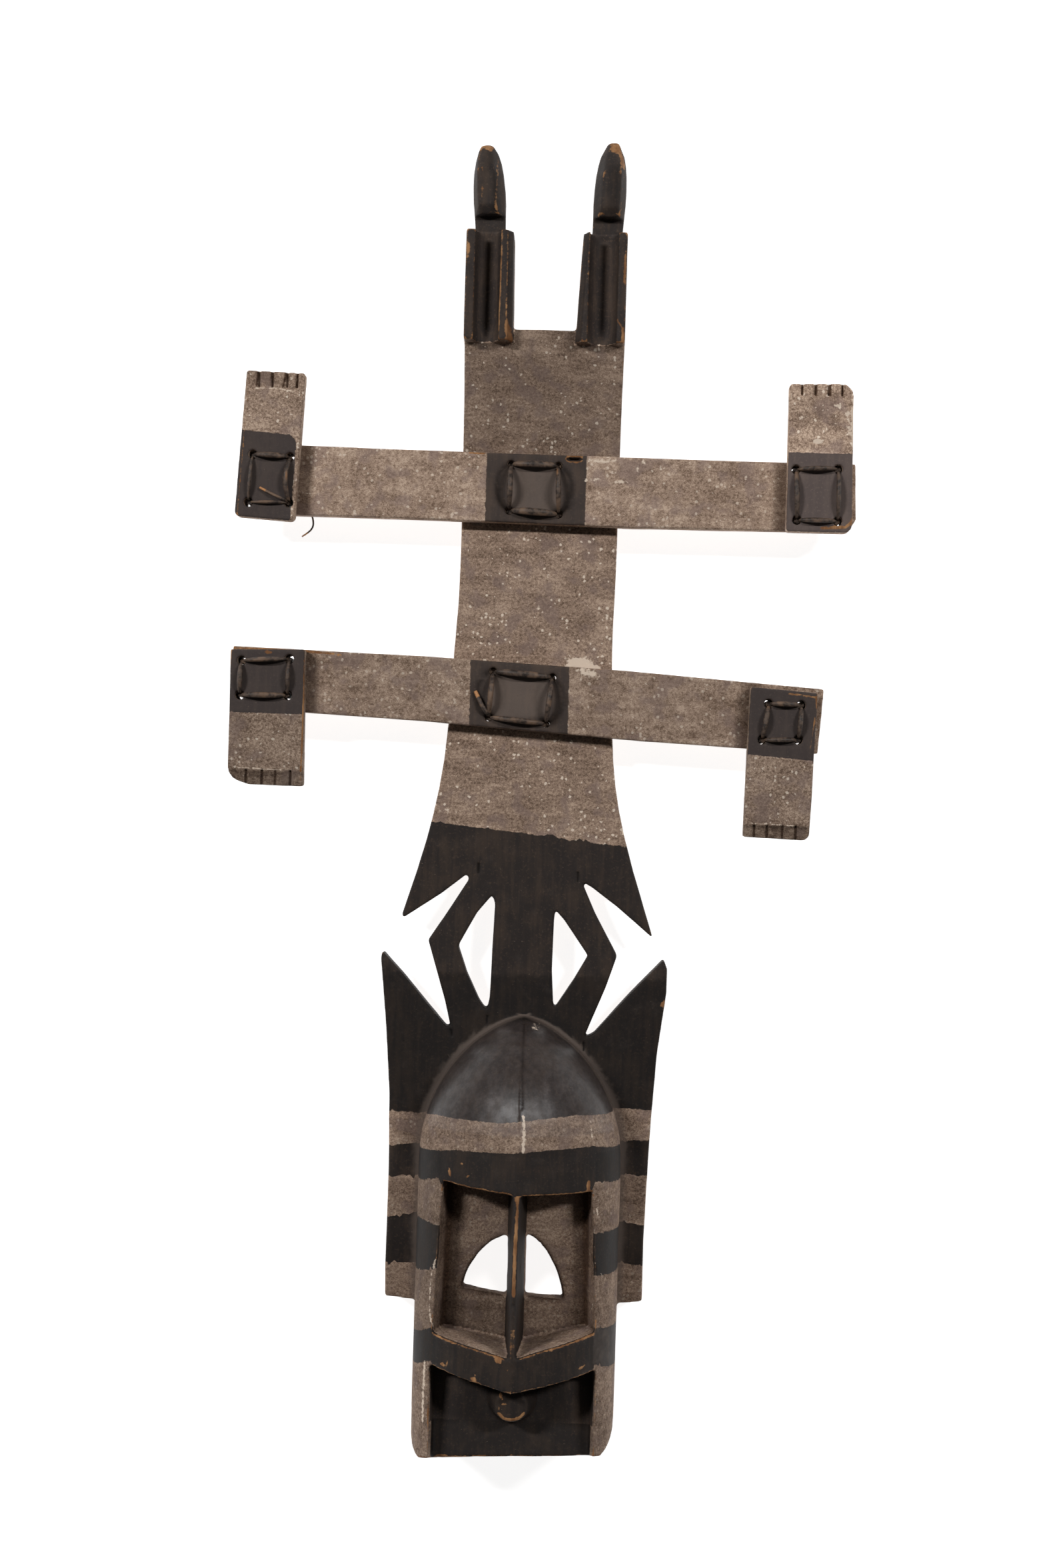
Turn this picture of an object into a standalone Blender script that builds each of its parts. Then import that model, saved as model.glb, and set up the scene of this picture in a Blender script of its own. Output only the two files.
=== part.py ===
"""A kanaga mask lying on its back.

+Z is the front of the mask, +Y runs from the chin to the horns, +X is the right of someone looking at it.
The origin is under the middle of the mask, on the surface it lies on. Sizes are in metres.
"""

import math

import bmesh
import bpy
from mathutils import Matrix, Vector

# Driving dimensions: the boards
GAP = 0.0003
PLANK_BACK = 0.011
PLANK_FRONT = 0.030
BOARD_THICKNESS = 0.015
BAR_BACK = PLANK_FRONT + GAP
BAR_FRONT = BAR_BACK + BOARD_THICKNESS
HAND_BACK = BAR_FRONT + GAP
HAND_FRONT = HAND_BACK + BOARD_THICKNESS
CLEAR = 0.010

# The face box, a vault with a keel that starts as a dome with a pointed arch for its foot
BOX_HALF_WIDTH = 0.086
BOX_END_Y = -0.555
END_SLANT = 0.045
CROWN_Y = -0.195
ARCH_LENGTH = 0.120
ARCH_POWER = 2 / 3
DOME_LENGTH = 0.105
DOME_FOOT_Y = -0.300
RIDGE_AT_DOME = 0.098
RIDGE_AT_PROW = 0.118
PROW_TOP_Y = -0.4605
PROW_UNDER_Y = -0.4875
KEEL = 0.30
BOX_ROUNDNESS = 2.8
DOME_STATIONS = [0.004, 0.03, 0.08, 0.16, 0.27, 0.41, 0.57, 0.76, 1.0]
BOX_STEPS = 20

# The rounding of the lower corners of the box, across and along
LEFT_CORNER = (0.012, 0.014)
RIGHT_CORNER = (0.0175, 0.018)
CORNER_STEPS = 3

# The bevel over the end of the box, in front of this height
BEVEL_BACK = 0.089
BEVEL_SLOPE = 0.24

# The hollow for the wearer's face: how high it is at each share of the way along the forehead
WALL = 0.016
HOLLOW_CROWN_Y = -0.222
HOLLOW_LENGTH = 0.115
FOREHEAD_CEILING = [(0.004, 0.014), (0.05, 0.042), (0.16, 0.068), (0.34, 0.090), (0.52, 0.105), (0.66, 0.106)]
FACE_CEILING = [(0.82, 0.060), (1.0, 0.058)]
CHIN_CEILING = 0.058
HOLLOW_ROUNDNESS = 2.6
CHIN_ROUNDNESS = 3.6
HOLLOW_STEPS = 14

# The recesses beside the nose and the panel under the mouth, with the top that every cutter reaches
CUTTER_TOP = 0.170
RECESS_FLOOR = 0.072
NOSE_FRONT_HALF = 0.0023
NOSE_BASE_HALF = 0.0075
BROW_Y = -0.3318
BROW_END_Y = {-1: -0.3265, 1: -0.3315}
SHELF_END_Y = {-1: -0.4505, 1: -0.4460}
RECESS_FLOOR_HALF = (0.0565, 0.0600)
RECESS_MOUTH_HALF = (0.0750, 0.0850)
CHEEK_END_Y = -0.4775
PANEL_FLOOR = 0.076
PANEL_SLOPE = 0.188
PANEL_FLOOR_HALF = (0.0650, 0.0655)
PANEL_MOUTH_HALF = (0.0765, 0.0760)
PANEL_PAST_Y = -0.600

# The half-moon eyes: inner and outer side, the sill at each, and the top
LEFT_EYE = (0.0076, 0.0445, -0.4248, -0.4207, -0.3745)
RIGHT_EYE = (0.0078, 0.0400, -0.4246, -0.4276, -0.3735)
EYE_BULGE = 1.6
EYE_STEPS = 10
EYE_CORNER = 0.001

# The boss under the mouth
BOSS_Y = -0.5065
BOSS_FOOT_RADIUS = 0.0230
BOSS_FRONT_RADIUS = 0.0130
BOSS_BACK = 0.072
BOSS_FRONT = 0.114
BOSS_SIDES = 20

# The horns, fingers with a flat front facet on grooved blocks
HORN_BASE_Y = 0.3795
HORN_SHOULDER_Y = 0.4735
LEDGE_Y = 0.4875
HORN_WIDEST_Y = 0.500
FACET_END_Y = 0.5245
HORN_STATIONS = [HORN_BASE_Y, 0.478, HORN_WIDEST_Y, 0.513, FACET_END_Y, 0.534, 0.542]
HORN_MIDDLE_Z = 0.024
HORN_FRONT = 0.046
STEM_FRONT = 0.029
STEM_HALF_WIDTH = 0.0130
HORN_HALF_WIDTH = 0.0137
HORN_HALF_DEPTH = 0.0200
TIP_HALF_WIDTH = 0.0017
TIP_HALF_DEPTH = 0.0040
TIP_LENGTH = 0.0022
TIP_TAPER = 0.62
HORN_SECTION = [(-0.5, 1.0), (0.5, 1.0), (1.0, 0.30), (1.0, -0.55), (0.6, -1.0), (-0.6, -1.0), (-1.0, -0.55),
                (-1.0, 0.30)]
BLOCK_LEAN = 0.005
BLOCK_LEAN_Z = 0.038
TROUGH_FLOOR = 0.025
TROUGH_LIP = 0.031
TROUGH_RISE_Y = 0.396
TROUGH_END_SLOPE = 1.4
TROUGH_STEPS = 8
LEFT_HORN = {"middle": -0.0488, "tip_y": 0.5500, "lean": -0.056, "facet_shift": -0.0022,
             "groove": -0.0498, "groove_half": 0.0108}
RIGHT_HORN = {"middle": 0.0512, "tip_y": 0.5541, "lean": 0.040, "facet_shift": 0.001,
              "groove": 0.0490, "groove_half": 0.0122}
LEFT_BLOCK = {"outer": 0.0686, "inner_top": 0.0282, "inner_base": 0.0268}
RIGHT_BLOCK = {"outer": 0.0687, "inner_top": 0.0310, "inner_base": 0.0266}

# The thongs and their holes
THONG = 0.0052
RUN = 0.0050
CENTRE_HOLE = 0.0070
HAND_HOLE = 0.0080
HOLE_SIDES = 10
RUN_SIDES = 8
FRONT_BOW = [(0.0, 0.0), (0.22, 0.0042), (0.5, 0.0055), (0.78, 0.0042)]
BACK_BOW = [(0.0, 0.0), (0.5, -0.0008)]
THICK_TAIL = 0.0042
SPLIT_TAIL = 0.0031
THIN_TAIL = 0.0016

# The outline of the carved piece from the front: right side from the horns down, left side from the chin up
PLANK_RIGHT = [(0.069, 0.392), (0.0677, 0.300), (0.0672, 0.185), (0.066, 0.120), (0.0695, 0.026),
               (0.081, -0.039), (0.1076, -0.125)]
RIGHT_UPPER_WING = [(0.076, -0.099), (0.054, -0.083), (0.0455, -0.0785)]
RIGHT_ARM = [(0.058, -0.1055), (0.0779, -0.1414), (0.069, -0.168), (0.0515, -0.2125)]
RIGHT_LOWER_WING = [(0.060, -0.208), (0.090, -0.173), (0.1178, -0.1431), (0.121, -0.151), (0.121, -0.172),
                    (0.1145, -0.224), (0.111, -0.281), (0.1073, -0.383), (0.1078, -0.436), (0.060, -0.440)]
LEFT_LOWER_WING = [(-0.060, -0.443), (-0.1124, -0.438), (-0.1131, -0.413), (-0.1124, -0.330),
                   (-0.1135, -0.2645), (-0.118, -0.208), (-0.1228, -0.162), (-0.1243, -0.149),
                   (-0.1232, -0.143), (-0.1052, -0.162), (-0.0665, -0.2065)]
LEFT_ARM = [(-0.0632, -0.2045), (-0.0686, -0.183), (-0.0843, -0.1325), (-0.0692, -0.109), (-0.0508, -0.079)]
LEFT_UPPER_WING = [(-0.053, -0.0757), (-0.074, -0.0923), (-0.106, -0.1143)]
PLANK_LEFT = [(-0.1076, -0.1115), (-0.0884, -0.047), (-0.0752, 0.022), (-0.0694, 0.113), (-0.0663, 0.182),
              (-0.0667, 0.290), (-0.0683, 0.392)]
LEFT_WINDOW = [(-0.0300, -0.0915), (-0.0277, -0.100), (-0.0290, -0.137), (-0.0300, -0.180), (-0.0325, -0.192),
               (-0.0395, -0.1825), (-0.0505, -0.160), (-0.0586, -0.137), (-0.0434, -0.1085)]
RIGHT_WINDOW = [(0.0237, -0.103), (0.0319, -0.112), (0.0529, -0.142), (0.0414, -0.163), (0.0262, -0.187),
                (0.0243, -0.186), (0.0224, -0.155), (0.0228, -0.112)]
SIDE_STEPS = 3

# The crossbars, whose edges are not quite straight
UPPER_BAR = [(-0.250, 0.2862), (-0.097, 0.2841), (0.076, 0.2826), (0.267, 0.2820), (0.2685, 0.235),
             (0.262, 0.2245), (0.0775, 0.2232), (-0.095, 0.2258), (-0.250, 0.2265)]
LOWER_BAR = [(-0.257, 0.1136), (-0.092, 0.1094), (0.081, 0.1015), (0.246, 0.0911), (0.242, 0.0361),
             (0.074, 0.0436), (-0.090, 0.0540), (-0.2578, 0.0614)]

# Each hand's corners with their rounding
UPPER_LEFT_HAND = [(-0.2500, 0.3457, 0.002), (-0.2570, 0.2226, 0.004), (-0.2063, 0.2194, 0.004),
                   (-0.2003, 0.3444, 0.002)]
UPPER_RIGHT_HAND = [(0.2082, 0.3460, 0.002), (0.2085, 0.2222, 0.002), (0.2635, 0.2222, 0.006),
                    (0.2616, 0.3474, 0.010)]
LOWER_LEFT_HAND = [(-0.2566, 0.1098, 0.001), (-0.2562, 0.0020, 0.012), (-0.2385, -0.0040, 0.008),
                   (-0.1924, -0.0042, 0.002), (-0.1940, 0.1113, 0.001)]
LOWER_RIGHT_HAND = [(0.1827, 0.0905, 0.001), (0.1801, -0.0356, 0.001), (0.2355, -0.0375, 0.006),
                    (0.2390, 0.0868, 0.001)]

# The cuts between the fingers: the place of each across the hand, and where they start and end
UPPER_LEFT_FINGERS = ([-0.2392, -0.2279, -0.2154, -0.2070], 0.3312, 0.350)
UPPER_RIGHT_FINGERS = ([0.2185, 0.2295, 0.2408, 0.2522], 0.3362, 0.352)
LOWER_LEFT_FINGERS = ([-0.2406, -0.2271, -0.2156, -0.2032], -0.010, 0.0092)
LOWER_RIGHT_FINGERS = ([0.1888, 0.1998, 0.2124, 0.2237], -0.042, -0.0250)
FINGER_CUT = 0.0020
FINGER_DEPTH = 0.0030
TOE_STEP = 0.0012
TOE_HALF_WIDTH = 0.040
TOE_MARGIN = 0.001

# The four holes of each lashing, round the square
UPPER_BAR_HOLES = [(-0.0248, 0.2743), (0.0154, 0.2738), (0.0167, 0.2326), (-0.0253, 0.2347)]
LOWER_BAR_HOLES = [(-0.0348, 0.0980), (0.0157, 0.0944), (0.0112, 0.0547), (-0.0376, 0.0589)]
UPPER_LEFT_HOLES = [(-0.2427, 0.2747), (-0.2113, 0.2733), (-0.2112, 0.2346), (-0.2455, 0.2342)]
UPPER_RIGHT_HOLES = [(0.2154, 0.2742), (0.2507, 0.2753), (0.2515, 0.2315), (0.2172, 0.2316)]
LOWER_LEFT_HOLES = [(-0.2471, 0.1005), (-0.2068, 0.1028), (-0.2075, 0.0719), (-0.2479, 0.0713)]
LOWER_RIGHT_HOLES = [(0.1982, 0.0767), (0.2257, 0.0763), (0.2238, 0.0471), (0.1935, 0.0462)]

# The loose ends of the thongs, as X, Y and height over the board they lie on
LOWER_BAR_TAIL = [(-0.0376, 0.0589, 0.0), (-0.0430, 0.0680, 0.0030), (-0.0478, 0.0778, 0.0015),
                  (-0.0496, 0.0812, 0.0)]
UPPER_LEFT_FRONT_TAIL = [(-0.2113, 0.2352, 0.0), (-0.2209, 0.2394, 0.0030), (-0.2295, 0.2436, 0.0015),
                         (-0.2363, 0.2468, 0.0)]
UPPER_LEFT_BACK_TAIL = [(-0.2112, 0.2346, 0.0), (-0.2030, 0.2325, 0.0), (-0.1954, 0.2291, 0.0),
                        (-0.1936, 0.2235, 0.0), (-0.1934, 0.2189, 0.0), (-0.1967, 0.2137, 0.0),
                        (-0.2034, 0.2095, 0.0)]


def new_collection(name):
    """A collection linked to the scene."""
    made = bpy.data.collections.new(name)
    bpy.context.scene.collection.children.link(made)
    return made


def new_material(name, colour, roughness):
    """A plain Principled material."""
    made = bpy.data.materials.new(name)
    made.use_nodes = True
    shader = made.node_tree.nodes["Principled BSDF"]
    shader.inputs["Base Color"].default_value = (*colour, 1.0)
    shader.inputs["Roughness"].default_value = roughness
    shader.inputs["Metallic"].default_value = 0.0
    made.diffuse_color = (*colour, 1.0)
    return made


def keep(obj, material):
    """Makes an object one of the mask's pieces."""
    obj.data.materials.clear()
    obj.data.materials.append(material)
    pieces.objects.link(obj)
    return obj


def combine(target, other, operation):
    """Cuts or joins the other object, which becomes a tool that is never rendered."""
    other.hide_render = True
    other.display_type = "WIRE"
    cutters.objects.link(other)
    step = target.modifiers.new(other.name, "BOOLEAN")
    step.operation = operation
    step.object = other
    step.solver = "EXACT"


def from_bmesh(name, bm):
    """An object made from a bmesh."""
    mesh = bpy.data.meshes.new(name)
    bm.to_mesh(mesh)
    bm.free()
    return bpy.data.objects.new(name, mesh)


def from_curve(name, curve):
    """A closed mesh object made from a curve."""
    shaped = bpy.data.objects.new(name + "_curve", curve)
    bpy.context.scene.collection.objects.link(shaped)
    bpy.context.view_layer.update()
    mesh = bpy.data.meshes.new_from_object(shaped.evaluated_get(bpy.context.evaluated_depsgraph_get()))
    bpy.data.objects.remove(shaped)
    bm = bmesh.new()
    bm.from_mesh(mesh)
    bpy.data.meshes.remove(mesh)
    bmesh.ops.remove_doubles(bm, verts=bm.verts, dist=0.00001)
    return from_bmesh(name, bm)


def smooth_run(points, steps):
    """Points along a soft curve through all the given ones."""
    ends = [points[0]] + list(points) + [points[-1]]
    run = []
    for i in range(1, len(points)):
        before, start, end, after = [Vector(ends[i + k]) for k in (-1, 0, 1, 2)]
        for j in range(steps):
            t = j / steps
            run.append(tuple(0.5 * (2 * start + (end - before) * t
                                    + (2 * before - 5 * start + 4 * end - after) * t ** 2
                                    + (3 * start - before - 3 * end + after) * t ** 3)))
    return run + [tuple(points[-1])]


def rounded(corners):
    """An outline whose corners, given as X, Y and radius, are arcs."""
    outline = []
    for i, (x, y, radius) in enumerate(corners):
        corner = Vector((x, y))
        back = (Vector(corners[i - 1][:2]) - corner).normalized()
        ahead = (Vector(corners[(i + 1) % len(corners)][:2]) - corner).normalized()
        half = back.angle(ahead) / 2
        centre = corner + (back + ahead).normalized() * radius / math.sin(half)
        first = corner + back * radius / math.tan(half) - centre
        last = corner + ahead * radius / math.tan(half) - centre
        for j in range(CORNER_STEPS + 1):
            outline.append(tuple(centre + first.lerp(last, j / CORNER_STEPS).normalized() * radius))
    return outline


def board(name, outlines, back, front):
    """A flat board between two heights, with its outline first and then any windows."""
    curve = bpy.data.curves.new(name, "CURVE")
    curve.dimensions = "2D"
    curve.fill_mode = "BOTH"
    curve.extrude = (front - back) / 2
    for outline in outlines:
        spline = curve.splines.new("POLY")
        spline.points.add(len(outline) - 1)
        for point, (x, y) in zip(spline.points, outline):
            point.co = (x, y, 0, 1)
        spline.use_cyclic_u = True
    obj = from_curve(name, curve)
    obj.data.transform(Matrix.Translation((0, 0, (front + back) / 2)))
    return obj


def tube(name, points, diameter, cyclic=False):
    """A round thong along a path."""
    curve = bpy.data.curves.new(name, "CURVE")
    curve.dimensions = "3D"
    curve.bevel_depth = diameter / 2
    curve.bevel_resolution = 1
    curve.use_fill_caps = not cyclic
    spline = curve.splines.new("POLY")
    spline.points.add(len(points) - 1)
    for point, place in zip(spline.points, points):
        point.co = (*place, 1)
    spline.use_cyclic_u = cyclic
    return from_curve(name, curve)


def loft(name, rings):
    """A closed solid through rings that all have the same number of points."""
    bm = bmesh.new()
    rows = [[bm.verts.new(point) for point in ring] for ring in rings]
    count = len(rows[0])
    for lower, upper in zip(rows, rows[1:]):
        for i in range(count):
            j = (i + 1) % count
            bm.faces.new((lower[i], lower[j], upper[j], upper[i]))
    bm.faces.new(rows[0])
    bm.faces.new(rows[-1])
    bmesh.ops.recalc_face_normals(bm, faces=bm.faces)
    return from_bmesh(name, bm)


def pegs(name, centres, diameter, bottom, top, sides):
    """Upright round pegs in one object."""
    bm = bmesh.new()
    for x, y in centres:
        made = bmesh.ops.create_cone(bm, cap_ends=True, segments=sides, radius1=diameter / 2,
                                     radius2=diameter / 2, depth=top - bottom)
        bmesh.ops.translate(bm, verts=made["verts"], vec=(x, y, (top + bottom) / 2))
    return from_bmesh(name, bm)


def blocks(name, corners):
    """Boxes in one object, each between a low and a high corner."""
    bm = bmesh.new()
    for low, high in corners:
        made = bmesh.ops.create_cube(bm, size=1)
        bmesh.ops.scale(bm, verts=made["verts"], vec=[b - a for a, b in zip(low, high)])
        bmesh.ops.translate(bm, verts=made["verts"], vec=[(a + b) / 2 for a, b in zip(low, high)])
    return from_bmesh(name, bm)


def arch(y, crown, length, half_width):
    """Half the width of a pointed arch at a place below its crown."""
    fall = min(1.0, (crown - y) / length)
    return half_width * (1 - (1 - fall) ** 2) ** ARCH_POWER


def ridge(y):
    """Height of the central ridge over the plank."""
    fall = min(1.0, (CROWN_Y - y) / DOME_LENGTH)
    along = max(0.0, (DOME_FOOT_Y - y) / (DOME_FOOT_Y - PROW_TOP_Y))
    return math.sqrt(1 - (1 - fall) ** 2) * (RIDGE_AT_DOME + (RIDGE_AT_PROW - RIDGE_AT_DOME) * along)


def vault(y, half_width, height, foot, base, keel, roundness, steps):
    """A ring across the box: a flat base, upright sides and a vault with a keel."""
    ring = [(half_width, y, base)]
    for i in range(steps + 1):
        angle = math.pi * i / steps
        across = math.copysign(abs(math.cos(angle)) ** (2 / roundness), math.cos(angle))
        bulge = math.sin(angle) ** (2 / roundness)
        rise = (1 - keel) * bulge + keel * (1 - abs(across))
        ring.append((half_width * across, y, foot + height * rise))
    ring.append((-half_width, y, base))
    return ring


def slanted(points):
    """Points at the box's end, moved onto its slant."""
    return [(point[0], point[1] + END_SLANT * point[0], *point[2:]) for point in points]


def outer_box():
    """The face box with its domed forehead, before it is hollowed."""
    rings = []
    for y in [CROWN_Y - ARCH_LENGTH * share for share in DOME_STATIONS] + [PROW_TOP_Y, BOX_END_Y]:
        half_width = arch(y, CROWN_Y, ARCH_LENGTH, BOX_HALF_WIDTH)
        rings.append(vault(y, half_width, ridge(y), PLANK_FRONT, 0.0, KEEL, BOX_ROUNDNESS, BOX_STEPS))
    rings[-1] = slanted(rings[-1])
    return loft("face_box", rings)


def end_bevel():
    """What is cut away in front of the box's end, so that the end leans back there."""
    rings = []
    for x in (-BOX_HALF_WIDTH - CLEAR, BOX_HALF_WIDTH + CLEAR):
        rings.append(slanted([(x, BOX_END_Y - CLEAR, BEVEL_BACK), (x, BOX_END_Y, BEVEL_BACK),
                              (x, BOX_END_Y + BEVEL_SLOPE * (CUTTER_TOP - BEVEL_BACK), CUTTER_TOP),
                              (x, BOX_END_Y - CLEAR, CUTTER_TOP)]))
    return loft("end_bevel", rings)


def corner_cutter(name, side, corner):
    """What is cut away to round a lower corner of the box."""
    across, along = corner
    steps = 2 * CORNER_STEPS
    outline = []
    for i in range(steps + 1):
        angle = math.pi / 2 * i / steps
        outline.append((side * (BOX_HALF_WIDTH - across + across * math.cos(angle)),
                        BOX_END_Y + along - along * math.sin(angle)))
    outline += [(side * (BOX_HALF_WIDTH - across), BOX_END_Y - CLEAR),
                (side * (BOX_HALF_WIDTH + CLEAR), BOX_END_Y - CLEAR),
                (side * (BOX_HALF_WIDTH + CLEAR), BOX_END_Y + along)]
    return board(name, [slanted(outline)], -CLEAR, CUTTER_TOP)


def hollow():
    """The space for the wearer's face, with a deeper pocket behind the forehead."""
    inner_half = BOX_HALF_WIDTH - WALL
    foot = -GAP
    rings = []
    for share, ceiling in FOREHEAD_CEILING + FACE_CEILING:
        y = HOLLOW_CROWN_Y - HOLLOW_LENGTH * share
        half_width = arch(y, HOLLOW_CROWN_Y, HOLLOW_LENGTH, inner_half)
        rings.append(vault(y, half_width, ceiling, foot, -CLEAR, 0.0, HOLLOW_ROUNDNESS, HOLLOW_STEPS))
    rings.append(slanted(vault(BOX_END_Y + WALL, inner_half, CHIN_CEILING, foot, -CLEAR, 0.0, CHIN_ROUNDNESS,
                               HOLLOW_STEPS)))
    return loft("hollow", rings)


def nose_side(front):
    """Where the side of the nose, carried on up, would reach the cutters' top."""
    slope = (NOSE_BASE_HALF - NOSE_FRONT_HALF) / (front - RECESS_FLOOR)
    return NOSE_BASE_HALF - slope * (CUTTER_TOP - RECESS_FLOOR)


def face_recess(name, side):
    """The deep recess between the nose and one cheek."""
    at_brow = nose_side(PLANK_FRONT + ridge(BROW_Y))
    at_prow = nose_side(PLANK_FRONT + ridge(PROW_TOP_Y))
    floor = [(side * NOSE_BASE_HALF, BROW_Y, RECESS_FLOOR),
             (side * RECESS_FLOOR_HALF[0], BROW_END_Y[side], RECESS_FLOOR),
             (side * RECESS_FLOOR_HALF[1], SHELF_END_Y[side] - 0.001, RECESS_FLOOR),
             (side * NOSE_BASE_HALF, PROW_TOP_Y, RECESS_FLOOR)]
    mouth = [(side * at_brow, BROW_Y, CUTTER_TOP),
             (side * RECESS_MOUTH_HALF[0], BROW_END_Y[side], CUTTER_TOP),
             (side * RECESS_MOUTH_HALF[1], SHELF_END_Y[side], CUTTER_TOP),
             (side * at_prow, PROW_TOP_Y, CUTTER_TOP)]
    return loft(name, [floor, mouth])


def panel_recess():
    """The sloping panel under the mouth."""
    top = PANEL_FLOOR + PANEL_SLOPE * (CHEEK_END_Y - PROW_UNDER_Y)
    foot = PANEL_FLOOR + PANEL_SLOPE * (CHEEK_END_Y - PANEL_PAST_Y)
    upper, lower = PANEL_FLOOR_HALF
    floor = [(0, PROW_UNDER_Y, top), (upper, CHEEK_END_Y, PANEL_FLOOR), (lower, PANEL_PAST_Y, foot),
             (-lower, PANEL_PAST_Y, foot), (-upper, CHEEK_END_Y, PANEL_FLOOR)]
    upper, lower = PANEL_MOUTH_HALF
    mouth = [(0, PROW_UNDER_Y, CUTTER_TOP), (upper, CHEEK_END_Y, CUTTER_TOP),
             (lower, PANEL_PAST_Y, CUTTER_TOP), (-lower, PANEL_PAST_Y, CUTTER_TOP),
             (-upper, CHEEK_END_Y, CUTTER_TOP)]
    return loft("panel_recess", [floor, mouth])


def eye(name, side, inner, outer, inner_sill, outer_sill, top):
    """A half-moon eye opening beside the nose, with a slanting sill."""
    outline = [(side * inner, inner_sill), (side * inner, top)]
    for i in range(1, EYE_STEPS):
        angle = math.pi / 2 * i / EYE_STEPS
        outline.append((side * (inner + (outer - inner) * math.sin(angle) ** (2 / EYE_BULGE)),
                        outer_sill + (top - outer_sill) * math.cos(angle) ** (2 / EYE_BULGE)))
    outline.append((side * outer, outer_sill + EYE_CORNER))
    return board(name, [outline], RECESS_FLOOR / 2, RECESS_FLOOR + CLEAR)


def chin_boss():
    """The blunt cone under the prow of the mouth."""
    bm = bmesh.new()
    made = bmesh.ops.create_cone(bm, cap_ends=True, segments=BOSS_SIDES, radius1=BOSS_FOOT_RADIUS,
                                 radius2=BOSS_FRONT_RADIUS, depth=BOSS_FRONT - BOSS_BACK)
    bmesh.ops.translate(bm, verts=made["verts"], vec=(0, BOSS_Y, (BOSS_FRONT + BOSS_BACK) / 2))
    return from_bmesh("chin_boss", bm)


def horn(name, middle, tip_y, lean, facet_shift):
    """A finger with a flat front facet, which bevels back to a blunt tip."""
    rings = []
    for y in HORN_STATIONS + [tip_y - TIP_LENGTH, tip_y]:
        reach = max(0.0, (y - HORN_WIDEST_Y) / (tip_y - HORN_WIDEST_Y))
        bevel = min(1.0, (tip_y - y) / (tip_y - FACET_END_Y))
        centre = middle + lean * max(0.0, y - HORN_SHOULDER_Y)
        widest = STEM_HALF_WIDTH if y < HORN_WIDEST_Y else HORN_HALF_WIDTH
        half_width = max(TIP_HALF_WIDTH, widest * (1 - reach ** 2) ** TIP_TAPER)
        half_depth = TIP_HALF_DEPTH + (HORN_HALF_DEPTH - TIP_HALF_DEPTH) * bevel
        rings.append([(centre + across * half_width + (facet_shift if up == 1.0 else 0.0), y,
                       HORN_MIDDLE_Z + up * half_depth) for across, up in HORN_SECTION])
    return loft(name, rings)


def horn_block(name, side, outer, inner_top, inner_base):
    """The block under a horn, whose inner side leans."""
    rings = []
    for y, inner in ((HORN_BASE_Y, inner_base), (HORN_SHOULDER_Y, inner_top)):
        rings.append([(side * outer, y, 0.0), (side * inner, y, 0.0), (side * inner, y, BLOCK_LEAN_Z),
                      (side * (inner + BLOCK_LEAN), y, HORN_FRONT), (side * outer, y, HORN_FRONT)])
    return loft(name, rings)


def trough(name, groove, groove_half):
    """The rounded groove down the front of a horn block, from the plank's face to a slope by the stem."""
    rings = []
    for y, floor, slope in ((HORN_BASE_Y - CLEAR, TROUGH_LIP, 0.0), (HORN_BASE_Y, TROUGH_LIP, 0.0),
                            (TROUGH_RISE_Y, TROUGH_FLOOR, 0.0),
                            (HORN_SHOULDER_Y + GAP, TROUGH_FLOOR, TROUGH_END_SLOPE)):
        above = y + slope * (HORN_FRONT + CLEAR - STEM_FRONT)
        ring = [(groove + groove_half, above, HORN_FRONT + CLEAR)]
        for i in range(TROUGH_STEPS + 1):
            angle = math.pi * i / TROUGH_STEPS
            z = HORN_FRONT - (HORN_FRONT - floor) * math.sin(angle)
            ring.append((groove + groove_half * math.cos(angle), y + slope * (z - STEM_FRONT), z))
        ring.append((groove - groove_half, above, HORN_FRONT + CLEAR))
        rings.append(ring)
    return loft(name, rings)


def add_horn(body, name, side, block, middle, tip_y, lean, facet_shift, groove, groove_half):
    """One horn with its block."""
    combine(body, horn_block(name + "_block", side, **block), "UNION")
    combine(body, horn(name, middle, tip_y, lean, facet_shift), "UNION")
    low = (middle - HORN_HALF_WIDTH - GAP, HORN_SHOULDER_Y + GAP, STEM_FRONT)
    high = (middle + HORN_HALF_WIDTH + GAP, LEDGE_Y, HORN_FRONT + CLEAR)
    combine(body, blocks(name + "_ledge", [(low, high)]), "DIFFERENCE")
    combine(body, trough(name + "_trough", groove, groove_half), "DIFFERENCE")


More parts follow.
